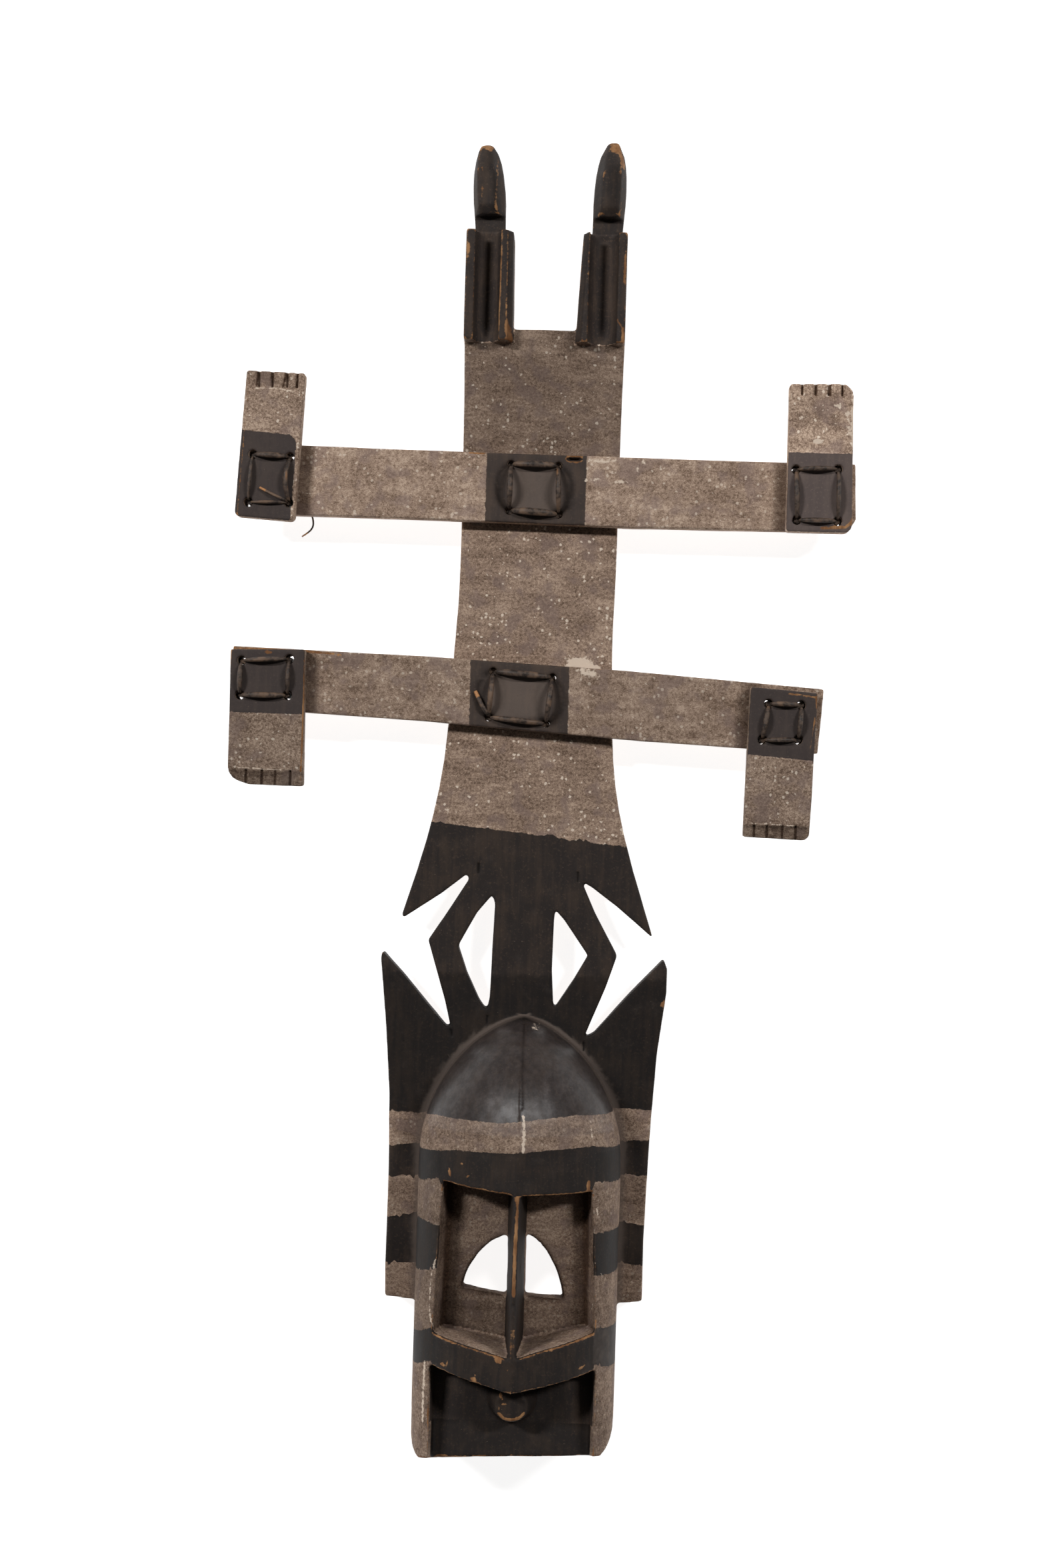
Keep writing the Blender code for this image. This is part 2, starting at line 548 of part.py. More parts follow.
def mask_and_plank():
    """The carved piece: face box, wings, neck, plank and horns."""
    edge = smooth_run(PLANK_RIGHT, SIDE_STEPS) + RIGHT_UPPER_WING + RIGHT_ARM + RIGHT_LOWER_WING
    edge += LEFT_LOWER_WING + LEFT_ARM + LEFT_UPPER_WING + smooth_run(PLANK_LEFT, SIDE_STEPS)
    body = keep(board("mask_and_plank", [edge, LEFT_WINDOW, RIGHT_WINDOW], PLANK_BACK, PLANK_FRONT), wood)
    combine(body, outer_box(), "UNION")
    add_horn(body, "left_horn", -1, LEFT_BLOCK, **LEFT_HORN)
    add_horn(body, "right_horn", 1, RIGHT_BLOCK, **RIGHT_HORN)
    combine(body, corner_cutter("left_corner", -1, LEFT_CORNER), "DIFFERENCE")
    combine(body, corner_cutter("right_corner", 1, RIGHT_CORNER), "DIFFERENCE")
    combine(body, end_bevel(), "DIFFERENCE")
    combine(body, hollow(), "DIFFERENCE")
    combine(body, face_recess("left_recess", -1), "DIFFERENCE")
    combine(body, face_recess("right_recess", 1), "DIFFERENCE")
    combine(body, panel_recess(), "DIFFERENCE")
    combine(body, eye("left_eye", -1, *LEFT_EYE), "DIFFERENCE")
    combine(body, eye("right_eye", 1, *RIGHT_EYE), "DIFFERENCE")
    combine(body, chin_boss(), "UNION")
    for name, holes in (("upper_bar_holes", UPPER_BAR_HOLES), ("lower_bar_holes", LOWER_BAR_HOLES)):
        combine(body, pegs(name + "_in_plank", holes, CENTRE_HOLE, 0.0, BAR_FRONT, HOLE_SIDES), "DIFFERENCE")


def crossbar(name, outline, centre_holes, end_holes):
    """A board across the plank."""
    bar = keep(board(name, [outline], BAR_BACK, BAR_FRONT), wood)
    low, high = BAR_BACK - CLEAR, BAR_FRONT + CLEAR
    combine(bar, pegs(name + "_centre_holes", centre_holes, CENTRE_HOLE, low, high, HOLE_SIDES), "DIFFERENCE")
    combine(bar, pegs(name + "_end_holes", end_holes, HAND_HOLE, low, high, HOLE_SIDES), "DIFFERENCE")


def hand(name, corners, holes, fingers, toes):
    """A short board tied to the end of a crossbar; toes that point down stand on a lower step."""
    made = keep(board(name, [rounded(corners)], HAND_BACK, HAND_FRONT), wood)
    places, start, end = fingers
    if toes:
        middle = sum(places) / len(places)
        low = (middle - TOE_HALF_WIDTH, start - CLEAR, HAND_FRONT - TOE_STEP)
        high = (middle + TOE_HALF_WIDTH, end - TOE_MARGIN, HAND_FRONT + CLEAR)
        combine(made, blocks(name + "_toe_step", [(low, high)]), "DIFFERENCE")
    half = FINGER_CUT / 2
    low, high = HAND_FRONT - FINGER_DEPTH, HAND_FRONT + CLEAR
    cuts = [((x - half, start, low), (x + half, end, high)) for x in places]
    combine(made, blocks(name + "_finger_cuts", cuts), "DIFFERENCE")
    low, high = HAND_BACK - CLEAR, HAND_FRONT + CLEAR
    combine(made, pegs(name + "_holes", holes, HAND_HOLE, low, high, HOLE_SIDES), "DIFFERENCE")


def square_round(name, holes, height, bow):
    """A closed thong from hole to hole, bowed away from the wood on each side of the square."""
    path = []
    for i, start in enumerate(holes):
        end = holes[(i + 1) % len(holes)]
        for share, lift in bow:
            x, y = [a + (b - a) * share for a, b in zip(start, end)]
            path.append((x, y, height + lift))
    return tube(name, path, THONG, cyclic=True)


def lashing(name, holes, back, front, tails=()):
    """A thong tied round four holes: four strands in front, four behind, and a run through each hole."""
    over = front + GAP + THONG / 2
    under = back - GAP - THONG / 2
    ring = keep(square_round(name, holes, over, FRONT_BOW), leather)
    combine(ring, square_round(name + "_behind", holes, under, BACK_BOW), "UNION")
    for i, hole in enumerate(holes):
        combine(ring, pegs("%s_run_%d" % (name, i), [hole], RUN, under, over, RUN_SIDES), "UNION")
    for i, (points, diameter, surface) in enumerate(tails):
        path = [(x, y, surface + lift) for x, y, lift in points]
        combine(ring, tube("%s_tail_%d" % (name, i), path, diameter), "UNION")


def lashings():
    """The six thongs that hold the boards together."""
    reach = GAP + THONG / 2
    lashing("upper_bar_lashing", UPPER_BAR_HOLES, PLANK_BACK, BAR_FRONT)
    lashing("lower_bar_lashing", LOWER_BAR_HOLES, PLANK_BACK, BAR_FRONT,
            [(LOWER_BAR_TAIL, THICK_TAIL, BAR_FRONT + reach)])
    lashing("upper_left_lashing", UPPER_LEFT_HOLES, BAR_BACK, HAND_FRONT,
            [(UPPER_LEFT_FRONT_TAIL, SPLIT_TAIL, HAND_FRONT + reach),
             (UPPER_LEFT_BACK_TAIL, THIN_TAIL, BAR_BACK - reach)])
    lashing("upper_right_lashing", UPPER_RIGHT_HOLES, BAR_BACK, HAND_FRONT)
    lashing("lower_left_lashing", LOWER_LEFT_HOLES, BAR_BACK, HAND_FRONT)
    lashing("lower_right_lashing", LOWER_RIGHT_HOLES, BAR_BACK, HAND_FRONT)


for old in list(bpy.context.scene.objects):
    bpy.data.objects.remove(old)
pieces = new_collection("kanaga_mask")
cutters = new_collection("cutters")
wood = new_material("painted_wood", (0.10, 0.085, 0.072), 0.75)
leather = new_material("thong_leather", (0.035, 0.028, 0.024), 0.6)
mask_and_plank()
crossbar("upper_crossbar", UPPER_BAR, UPPER_BAR_HOLES, UPPER_LEFT_HOLES + UPPER_RIGHT_HOLES)
crossbar("lower_crossbar", LOWER_BAR, LOWER_BAR_HOLES, LOWER_LEFT_HOLES + LOWER_RIGHT_HOLES)
hand("upper_left_hand", UPPER_LEFT_HAND, UPPER_LEFT_HOLES, UPPER_LEFT_FINGERS, toes=False)
hand("upper_right_hand", UPPER_RIGHT_HAND, UPPER_RIGHT_HOLES, UPPER_RIGHT_FINGERS, toes=False)
hand("lower_left_hand", LOWER_LEFT_HAND, LOWER_LEFT_HOLES, LOWER_LEFT_FINGERS, toes=True)
hand("lower_right_hand", LOWER_RIGHT_HAND, LOWER_RIGHT_HOLES, LOWER_RIGHT_FINGERS, toes=True)
lashings()
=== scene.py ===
import math

import bpy
import numpy as np
from mathutils import Matrix, Vector


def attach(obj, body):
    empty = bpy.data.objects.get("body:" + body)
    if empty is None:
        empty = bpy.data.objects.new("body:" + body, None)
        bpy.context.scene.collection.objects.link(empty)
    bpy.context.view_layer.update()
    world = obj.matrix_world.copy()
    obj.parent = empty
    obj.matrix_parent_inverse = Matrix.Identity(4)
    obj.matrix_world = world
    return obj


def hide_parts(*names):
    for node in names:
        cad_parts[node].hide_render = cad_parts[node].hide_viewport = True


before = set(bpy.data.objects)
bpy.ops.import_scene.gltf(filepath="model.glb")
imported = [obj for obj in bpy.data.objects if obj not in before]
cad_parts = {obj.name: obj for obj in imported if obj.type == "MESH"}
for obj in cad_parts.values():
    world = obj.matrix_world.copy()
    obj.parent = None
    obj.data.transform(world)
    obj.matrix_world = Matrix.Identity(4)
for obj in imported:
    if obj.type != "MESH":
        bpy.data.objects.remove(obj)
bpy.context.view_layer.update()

# ------------------------------------------------------------------------------
# The mask and plank: one length of light wood, carved with adze and knife. The face box is hollowed from behind,
# and the neck is cut through. It is painted with chalky grey and soot black, and worn to the wood at its edges.

MM = 0.001
WELD = 0.00001
MASK_SKIN = 0.0013
MASK_TRIANGLES = 192000
THINNING = 0.00002
NOISE_CELLS = 40

# The carved outside of the box, as in the CAD source
PLANK_FACE = 0.030
CROWN_Y = -0.195
BOX_HALF_WIDTH = 0.086
ARCH_LENGTH = 0.120
ARCH_POWER = 2 / 3
DOME_LENGTH = 0.105
DOME_FOOT_Y = -0.300
RIDGE_AT_DOME = 0.098
RIDGE_RISE = 0.020
PROW_RUN = 0.1605
KEEL = 0.30
BOX_ROUNDNESS = 2.8


def placed(name, data):
    """A new object in the scene."""
    made = bpy.data.objects.new(name, data)
    bpy.context.scene.collection.objects.link(made)
    return made


def result(source):
    """The mesh that an object's modifiers make; the object is then removed."""
    mesh = bpy.data.meshes.new_from_object(source.evaluated_get(bpy.context.evaluated_depsgraph_get()))
    bpy.data.objects.remove(source)
    return mesh


def even_skin(node, voxel):
    """A closed copy of a CAD piece with an even skin of small faces, which can be carved and worn."""
    blank = placed(node + "_blank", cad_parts[node].data.copy())
    weld = blank.modifiers.new("weld", "WELD")
    weld.merge_threshold = WELD
    skin = blank.modifiers.new("skin", "REMESH")
    skin.mode = "VOXEL"
    skin.voxel_size = voxel
    return result(blank)


def rows(source, label, wide, kind=np.float32):
    """The numbers that a mesh keeps for each of its items, one row for each item."""
    found = np.empty(len(source) * wide, kind)
    source.foreach_get(label, found)
    return found.reshape(-1, wide)


def places(mesh):
    """The points of a mesh."""
    return rows(mesh.vertices, "co", 3).astype(float)


def put_places(mesh, points):
    mesh.vertices.foreach_set("co", points.astype(np.float32).ravel())
    mesh.update()


def outward(mesh):
    """The direction that each point of a mesh faces."""
    return rows(mesh.vertex_normals, "vector", 3).astype(float)


def ends_of_edges(mesh):
    return rows(mesh.edges, "vertices", 2, np.int32).T


def relaxed(values, ends, passes):
    """Values evened out with their neighbours, as rubbing evens out a carved surface."""
    a, b = ends
    count = len(values)
    share = np.bincount(np.concatenate([a, b]), minlength=count)
    for _ in range(passes):
        total = [np.bincount(a, v[b], minlength=count) + np.bincount(b, v[a], minlength=count) for v in values.T]
        values = (values + np.stack(total, 1) / share[:, None]) / 2
    return values


def lumps(points, size, seed):
    """Smooth noise from -1 to 1 with lumps about as far apart as size, which may be one number or three."""
    table = np.random.default_rng(seed).uniform(-1, 1, (NOISE_CELLS,) * 3)
    spot = points / np.asarray(size)
    cell = np.floor(spot).astype(int)
    part = spot - cell
    part = part * part * (3 - 2 * part)
    found = np.zeros(len(points))
    for corner in np.ndindex(2, 2, 2):
        share = np.prod(np.where(corner, part, 1 - part), axis=1)
        found += share * table[tuple(((cell + corner) % NOISE_CELLS).T)]
    return found


def scallops(points, size, seed):
    """0 at the middle of each bite of an adze, rising to about 1 on the ridges between bites."""
    shift = np.random.default_rng(seed).uniform(0.1, 0.9, (NOISE_CELLS, NOISE_CELLS, NOISE_CELLS, 3))
    spot = points / np.asarray(size)
    cell = np.floor(spot).astype(int)
    nearest = np.full(len(points), 9.0)
    for step in np.ndindex(3, 3, 3):
        home = cell + np.array(step) - 1
        gap = spot - home - shift[tuple((home % NOISE_CELLS).T)]
        nearest = np.minimum(nearest, np.einsum("ij,ij->i", gap, gap))
    return np.clip(nearest, 0, 1)


def blobs(points, spots):
    """The sum of soft round spots, each (x, y, half width, half height, turn in degrees, strength), in mm."""
    found = np.zeros(len(points))
    for x, y, wide, high, turn, strength in spots:
        across, along = points[:, 0] / MM - x, points[:, 1] / MM - y
        c, s = math.cos(math.radians(turn)), math.sin(math.radians(turn))
        found += strength * np.exp(-((across * c + along * s) / wide) ** 2 - ((along * c - across * s) / high) ** 2)
    return found


def strokes(points, lines):
    """The strongest of some soft strokes at each point, each (x, y, x, y, half width, strength), in mm."""
    found = np.zeros(len(points))
    for x0, y0, x1, y1, wide, strength in lines:
        start, run = np.array([x0, y0]), np.array([x1 - x0, y1 - y0])
        offset = points[:, :2] / MM - start
        share = np.clip(offset @ run / (run @ run), 0, 1)
        gap = np.linalg.norm(offset - share[:, None] * run, axis=1)
        found = np.maximum(found, strength * np.exp(-(gap / wide) ** 2))
    return found


def trail(wide, strength, *corners):
    """Strokes from corner to corner of a broken line."""
    return [(*start, *end, wide, strength) for start, end in zip(corners, corners[1:])]


def rise(values, low, high):
    """0 below low, 1 above high, and smooth between them."""
    share = np.clip((values - low) / (high - low), 0, 1)
    return share * share * (3 - 2 * share)


def finished(mesh, name, triangles, marks, plainness=None):
    """Thins a worked mesh, most where it is plain, keeps its marks as attributes, and makes it an object."""
    for label, values in marks.items():
        mesh.attributes.new(label, "FLOAT", "POINT").data.foreach_set("value", values.astype(np.float32))
    worked = placed(name + "_worked", mesh)
    mesh.calc_loop_triangles()
    thin = worked.modifiers.new("thin", "DECIMATE")
    thin.ratio = min(1.0, triangles / len(mesh.loop_triangles))
    thin.use_collapse_triangulate = True
    if plainness is not None:
        plain = worked.vertex_groups.new(name="plain")
        for level in np.unique(plainness):
            plain.add(np.flatnonzero(plainness == level).tolist(), level, "REPLACE")
        thin.vertex_group = "plain"
        thin.vertex_group_factor = THINNING
    made = result(worked)
    made.name = name
    made.polygons.foreach_set("use_smooth", np.ones(len(made.polygons), bool))
    made.materials.clear()
    for spare in [layer for layer in made.attributes if layer.name == "plain"]:
        made.attributes.remove(spare)
    return placed(name, made)


def box_section(y):
    """The half width and the height of the carved box at each y."""
    arch = np.clip((CROWN_Y - y) / ARCH_LENGTH, 0, 1)
    dome = np.clip((CROWN_Y - y) / DOME_LENGTH, 0, 1)
    half_width = BOX_HALF_WIDTH * (1 - (1 - arch) ** 2) ** ARCH_POWER
    height = np.sqrt(1 - (1 - dome) ** 2) * (RIDGE_AT_DOME + RIDGE_RISE * np.clip((DOME_FOOT_Y - y) / PROW_RUN, 0, 9))
    return half_width, height


def box_share(points):
    """How far out a point is from the box's middle line, 1 being its carved outside."""
    half_width, height = box_section(points[:, 1])
    across = np.abs(points[:, 0]) / np.maximum(half_width, WELD)
    up = np.maximum(points[:, 2] - PLANK_FACE, 0) / np.maximum(height, WELD)
    low, high = np.full(len(points), 0.05), np.full(len(points), 9.0)
    for _ in range(26):
        middle = (low + high) / 2
        reach = np.clip(across / middle, 0, 1)
        skin = (1 - KEEL) * (1 - reach ** BOX_ROUNDNESS) ** (1 / BOX_ROUNDNESS) + KEEL * (1 - reach)
        inside = up / middle < skin
        inside &= across < middle
        low, high = np.where(inside, low, middle), np.where(inside, middle, high)
    return (low + high) / 2


mask_mesh = even_skin("mask_and_plank", MASK_SKIN)
spots = places(mask_mesh)
facing = outward(mask_mesh)
ends = ends_of_edges(mask_mesh)

# The box's outside is drawn onto its true curve, which the CAD solid has in flat facets
on_box = (spots[:, 1] < CROWN_Y - MM) & (spots[:, 1] > -0.527) & (spots[:, 2] > PLANK_FACE + MM)
share = np.ones(len(spots))
share[on_box] = box_share(spots[on_box])
centre_line = np.stack([np.zeros(len(spots)), spots[:, 1], np.full(len(spots), PLANK_FACE)], 1)
arm = spots - centre_line
length = np.maximum(np.linalg.norm(arm, axis=1), MM)
gap = (1 / share - 1) * length
faces_out = rise(np.einsum("ij,ij->i", arm / length[:, None], facing), 0.5, 0.75)
pull = (1 - rise(np.abs(gap), 0.9 * MM, 1.6 * MM)) * faces_out * on_box
spots = spots + arm / length[:, None] * (gap * pull)[:, None]
spots = relaxed(spots, ends, 4)
put_places(mask_mesh, spots)
facing = outward(mask_mesh)

depth_in_box = np.where(on_box, (1 - share) * length, 0.0)
x, y, z = spots.T
KERFS = [(-42.9, -66.0, -42.9, -73.5, 0.8, 1), (-61.5, -214.0, -62.6, -208.5, 0.8, 1),
         (-32.2, -202.0, -31.4, -196.0, 0.8, 1), (42.2, -71.0, 42.2, -78.0, 0.8, 1),
         (51.1, -222.5, 51.6, -216.0, 0.8, 1), (0.6, -196.0, 1.6, -262.0, 1.1, 0.45)]
kerfs = strokes(spots, KERFS) * (facing[:, 2] > 0.3)
behind = rise(-facing[:, 2], 0.2, 0.6) * (z < 0.0125) * (y > -0.20)
inside = rise(0.011 - depth_in_box, -0.001, 0.001)
hollow = (y < -0.215) & (z < 0.110) & (facing[:, 2] < 0.35) & (np.abs(x) < 0.078)
hollow &= (share < 0.93) | (z < PLANK_FACE)
bite = scallops(spots, (0.017, 0.026, 0.020), 3)
spread = 0.00022 * lumps(spots, (0.028, 0.055, 0.028), 11) + 0.00009 * lumps(spots, (0.007, 0.013, 0.008), 12)
tool = np.where(hollow, 0.0011 * bite - 0.0004, 0.0) * rise(z, 0.001, 0.006)
tool = tool + behind * (0.0005 * bite - 0.0005)
tool -= 0.0012 * kerfs
spots = spots + facing * (spread * rise(z, 0.0005, 0.004) + tool)[:, None]
blunt = np.interp(y, [0.495, 0.515, 0.529, 0.5426, 0.551], [0, 0.0006, 0.0014, 0.0026, 0.0030])
spots[:, 0] += facing[:, 0] * blunt
even = relaxed(spots, ends, 7)
swell = np.einsum("ij,ij->i", spots - even, facing) / MM
edge = np.clip(swell / 0.55, 0, 1)
nicks = np.clip(lumps(spots, 0.0055, 21) - 0.38, 0, 1) * rise(edge, 0.35, 0.8)
spots = spots - facing * (nicks * 0.0013)[:, None]
put_places(mask_mesh, spots)
x, y, z = spots.T
away = np.abs(x)

# Where the black paint ends, each line as points (x, y) in mm from left to right
HORN_FOOT = 380
BLOCK_INSIDE = 26.2
NECK_TOP = [(-86, -31), (-14, -38), (81, -48)]
STRIPE_1_TOP = [(-112, -280), (-84, -280), (-71, -275), (-17, -274.5), (3, -272), (24, -270), (47, -268.5),
                (76, -271), (108, -272)]
STRIPE_1_FOOT = [(-111, -309), (-84, -306), (-53, -300), (-16, -298.5), (4, -297), (24, -295.5), (60, -294),
                 (85, -299), (108, -298)]
STRIPE_2_TOP = [(-112, -335), (-90, -334.5), (-66, -325), (-58, -340), (58, -340), (64, -323), (86, -328),
                (107, -328)]
STRIPE_2_FOOT = [(-112, -370), (-97, -369), (-82, -363), (-63, -364), (64, -366), (81, -367), (106, -370.5)]
STRIPE_3_TOP = [(-112, -409), (-88, -409), (-66, -399), (65, -400.5), (84, -403), (106, -405)]
BAND_TOP = [(-88, -460.5), (-67, -447), (62, -442), (85, -448)]
BAND_FOOT = [(-88.5, -488), (-66, -473), (63, -470.5), (85, -482)]


def beyond(line, x, y):
    """How far y is above a painted line, in mm."""
    return y / MM - np.interp(x / MM, *np.array(line, float).T)


def between(foot, top, x, y):
    return np.minimum(beyond(foot, x, y), -beyond(top, x, y))


black = np.minimum(y / MM - HORN_FOOT, away / MM - BLOCK_INSIDE)
for foot, top in ((STRIPE_1_TOP, NECK_TOP), (STRIPE_2_TOP, STRIPE_1_FOOT), (STRIPE_3_TOP, STRIPE_2_FOOT),
                  (BAND_FOOT, BAND_TOP)):
    black = np.maximum(black, between(foot, top, x, y))
sunk_in = rise(depth_in_box, 0.0025, 0.0035)
nose = (away < 0.0095) & (y < -0.3315) & (y > -0.4612) & (z > 0.0738)
nose &= (facing[:, 1] < 0.55) | (away < 0.0038)
recess = sunk_in * (y < -0.322) * (y > -0.462) * (z > 0.06) * (away < 0.077) * ~nose
panel = sunk_in * (y < -0.462) * (z > 0.05) * (away < 0.078)
black = np.where(recess > 0.5, -8.0, black)
black = np.where(nose | (panel > 0.5), 8.0, black)
black = np.where((away < 0.066) & (y < -0.455) & (z > 0.05) & (recess < 0.5), 8.0, black)
worn_inside = hollow & ((facing[:, 2] < -0.2) | (z < 0.045))
black = np.where((z < 0.0135) | worn_inside, -12.0, black)

# Where the wood shows at edges, chips and rubbed spots
crease = np.clip(-swell / 0.5, 0, 1)
front_edge = edge * (z > 0.02)
shelf = recess * (facing[:, 1] > 0.5) * (y < -0.430)
brow = front_edge * (y < -0.322) * (y > -0.335) * (away < 0.066) * (z > 0.09)
mouth = front_edge * (y < -0.437) * (y > -0.466) * (away < 0.070) * (z > 0.09)
band_foot = front_edge * (y < -0.469) * (y > -0.490) * (away < 0.068) * (z > 0.09)
chin_end = front_edge * (y < -0.540) * (z > 0.07)
cheek = front_edge * (away > 0.052) * (away < 0.083) * (z > 0.075) * (y < -0.340)
CHIPS = [(-56.5, -318.5, 1.3, 4.5, 14, 1.1), (58.4, -325.5, 1.8, 4.5, 0, 1.2), (-46.7, -310.2, 2, 1.6, 0, 0.75),
         (-41, -319.6, 2.6, 1.3, 30, 0.8), (-57, -474.0, 3.4, 1.5, -8, 0.95), (-53.2, -471.5, 0.9, 3.2, 0, 0.8),
         (-31.0, -479.5, 3.4, 1.6, -20, 0.95), (-29.6, -476.8, 0.8, 2.6, 0, 0.8), (-10.8, -462.7, 3.4, 2.2, -15, 1.1),
         (-2.5, -469.0, 2.2, 1.5, 0, 0.75), (56.3, -472.4, 4.8, 1.7, 25, 0.95), (117.6, -181, 2.2, 3, 0, 0.9),
         (-51.5, 546, 3.6, 2.6, 0, 1.0), (56, 547, 3.6, 4, -25, 1.0), (-31, 390, 3.4, 7, 8, 0.85),
         (-28.5, 382, 2.4, 3.5, 0, 0.6), (-66, 456, 1.8, 7, 0, 0.7)]
NOSE_RUBBED = trail(1.8, 0.95, (1.6, -331), (2.0, -343), (1.0, -362), (-0.3, -376), (-0.6, -396), (-0.3, -409))
RUBBED = trail(1.5, 0.62, (-48, 549), (-44.5, 536), (-43.8, 520), (-43.6, 505), (-43.4, 492))
RUBBED += trail(0.7, 0.52, (-57, 529), (-56.8, 510), (-55.5, 493)) + trail(0.7, 0.45, (-56, 489), (-40, 489))
RUBBED += trail(2.4, 0.72, (60.5, 549), (63.2, 540), (64, 530)) + trail(1.2, 0.55, (64, 528), (62.8, 508), (62, 492))
RUBBED += trail(0.7, 0.52, (46.5, 524), (43.8, 506), (42.8, 492)) + trail(0.8, 0.66, (43, 490), (62, 490))
RUBBED += trail(1.0, 0.35, (-37.5, 470), (-38.0, 440), (-38.6, 412), (-39.0, 388))
RUBBED += trail(1.3, 0.30, (-33, 470), (-33.2, 400))
RUBBED += trail(0.9, 0.46, (31.8, 470), (29.0, 430), (26.8, 388)) + trail(1.0, 0.60, (66.5, 455), (66.2, 430))
RUBBED += trail(1.3, 0.55, (62.5, 398), (66, 392), (66.5, 381))
BOSS_WEAR = trail(1.3, 0.85, (-9.6, -513.0), (-5.5, -516.6), (0.5, -517.6), (6.5, -516.2), (10.5, -512.5))
BOSS_WEAR += [(-9.2, -497.0, -7.2, -501.5, 0.9, 1.0), (-7.0, -505.0, -3.8, -504.4, 1.0, 0.95),
              (-9.5, -508, -9, -511, 0.7, 0.8)]
chips = blobs(spots, CHIPS) * (z > 0.02)
rubbed = strokes(spots, RUBBED) * (z > 0.03)
rubbed = np.where(nose, strokes(spots, NOSE_RUBBED) * rise(facing[:, 2], 0.55, 0.85), rubbed)
boss_wear = strokes(spots, BOSS_WEAR) * (z > 0.105) * (y < -0.485)
worn = (0.52 + 0.18 * (y > 0)) * edge + chips + rubbed + boss_wear
worn = worn + 0.50 * brow + 0.40 * mouth + 0.26 * band_foot + 0.36 * chin_end
worn = np.clip(worn + cheek * (0.15 + 0.3 * (y < -0.505) * (x < 0)), 0, 1.6) * (1 - 0.75 * (z < 0.012))

# Pale crusts, scratches and flecks, and dust that has settled along edges and ridges
PALE = trail(1.5, 1.0, (3.6, -268), (4.4, -280), (3.9, -296)) + trail(0.8, 0.8, (58.5, -274), (60.4, -288))
PALE += trail(1.0, 0.62, (-66.6, -392), (-69.3, -405), (-70.3, -424), (-69.5, -441), (-66.5, -447))
PALE += trail(1.3, 0.8, (-72.9, -477), (-73.4, -500), (-73.2, -526)) + trail(1.0, 0.7, (66.3, -345), (66.3, -353))
PALE += trail(0.9, 0.6, (70.5, -399), (72, -403)) + trail(1.0, 0.55, (64.5, -425), (63.9, -436))
PALE += trail(1.1, 0.9, (-71, 350), (-69.5, 320), (-68.5, 290)) + trail(0.8, 0.8, (-64, -29.5), (-64.3, -36))
FLECKS = [(9.3, 181.4, 2.2, 1.9, 0, 1.2), (1.1, 153.4, 1.9, 1.6, 0, 1.1), (-2.6, 168.8, 1.4, 1.3, 0, 1.0),
          (-14.7, 107.9, 1.4, 1.6, 0, 1.0), (60.0, 184.5, 2.0, 2.6, 0, 0.9), (-47.1, 40.6, 1.6, 2.0, 0, 1.1),
          (-15.9, 40.0, 2.0, 1.7, 0, 1.1), (58.3, 18.4, 2.0, 1.7, 0, 0.9), (-71.4, -22.3, 1.7, 2.6, 0, 1.1),
          (79.6, -35.8, 2.2, 2.6, 0, 1.1), (-51, 374, 2.4, 2.4, 0, 1.2), (-51, 363, 1.6, 1.6, 0, 1.0),
          (-27, 372, 1.6, 1.4, 0, 0.9), (12, 384, 1.5, 1.5, 0, 0.9), (38, 350, 1.6, 1.5, 0, 0.9),
          (41.5, 105.5, 13, 5.0, -16, 1.9), (30.0, 102.5, 6, 3, 20, 0.9), (54, 101.0, 3, 5, 0, 0.9),
          (10.9, -202.1, 4.5, 3.2, 0, 0.62)]
pale = (strokes(spots, PALE) + blobs(spots, FLECKS)) * (z > 0.02) * ~nose + 0.25 * cheek
foot_gap = (away - box_section(y)[0]) / MM
arch_line = np.exp(-((foot_gap - 1.5) / 4.0) ** 2) * (z > 0.0295) * (z < 0.044) * (y < -0.193)
arch_line *= np.where(y > -0.31, 0.85, 0.6)
# Painted highlights: two spots on the dome where the lamps reflect, made lighter and glossier
painted_highlights = blobs(spots, [(-22, -256, 8, 6, 30, 0.8), (22, -249, 3, 9, 8, 1.3), (33, -247, 5, 8, 15, 0.35)]) * (z > 0.06)
cheek_dust = between(BAND_FOOT, BAND_TOP, x, y) > 0
dust = np.clip(arch_line + 0.30 * cheek + 0.22 * (cheek_dust & (x > 0.066)), 0, 1)

# Painted shade in the recess, most in its corners and by its side walls, and in creases; knife cuts and the back
# darker
floor_half = 0.0565 + 0.0035 * np.clip((-0.3265 - y) / 0.12, 0, 1)
corner = rise(-(floor_half - away), -0.0135, -0.004) * recess * (z < 0.080)
side_wall = recess * (np.abs(facing[:, 0]) > 0.5) * (away > 0.03) * (z < 0.125)
in_groove = (y > 0.37) & (y < 0.475)
dirt_and_shade = np.clip(0.5 * corner + side_wall * (0.45 - 0.2 * rise(-y, 0.385, 0.41)) + 0.12 * recess * (1 - shelf)
               + kerfs + 0.8 * crease * (1 - shelf) * (1 - 0.8 * in_groove), 0, 1.3)
# Painted shade round the rims of the eye holes
dirt_and_shade += edge * recess * (z < 0.080) * (away < 0.050) * (y < -0.370) * (y > -0.432)
dirt_and_shade = np.where(z < 0.0135, 0.30, dirt_and_shade)
# Polish on the dome's black, which also lightens its colour as a painted sheen; the painted highlights add to it
polish_and_sheen = rise(box_section(y)[1] * (share - 0.4), 0.0, 0.02) * on_box * (y > -0.285) * rise(share, 0.9, 0.97)
polish_and_sheen = polish_and_sheen * (1 + painted_highlights)
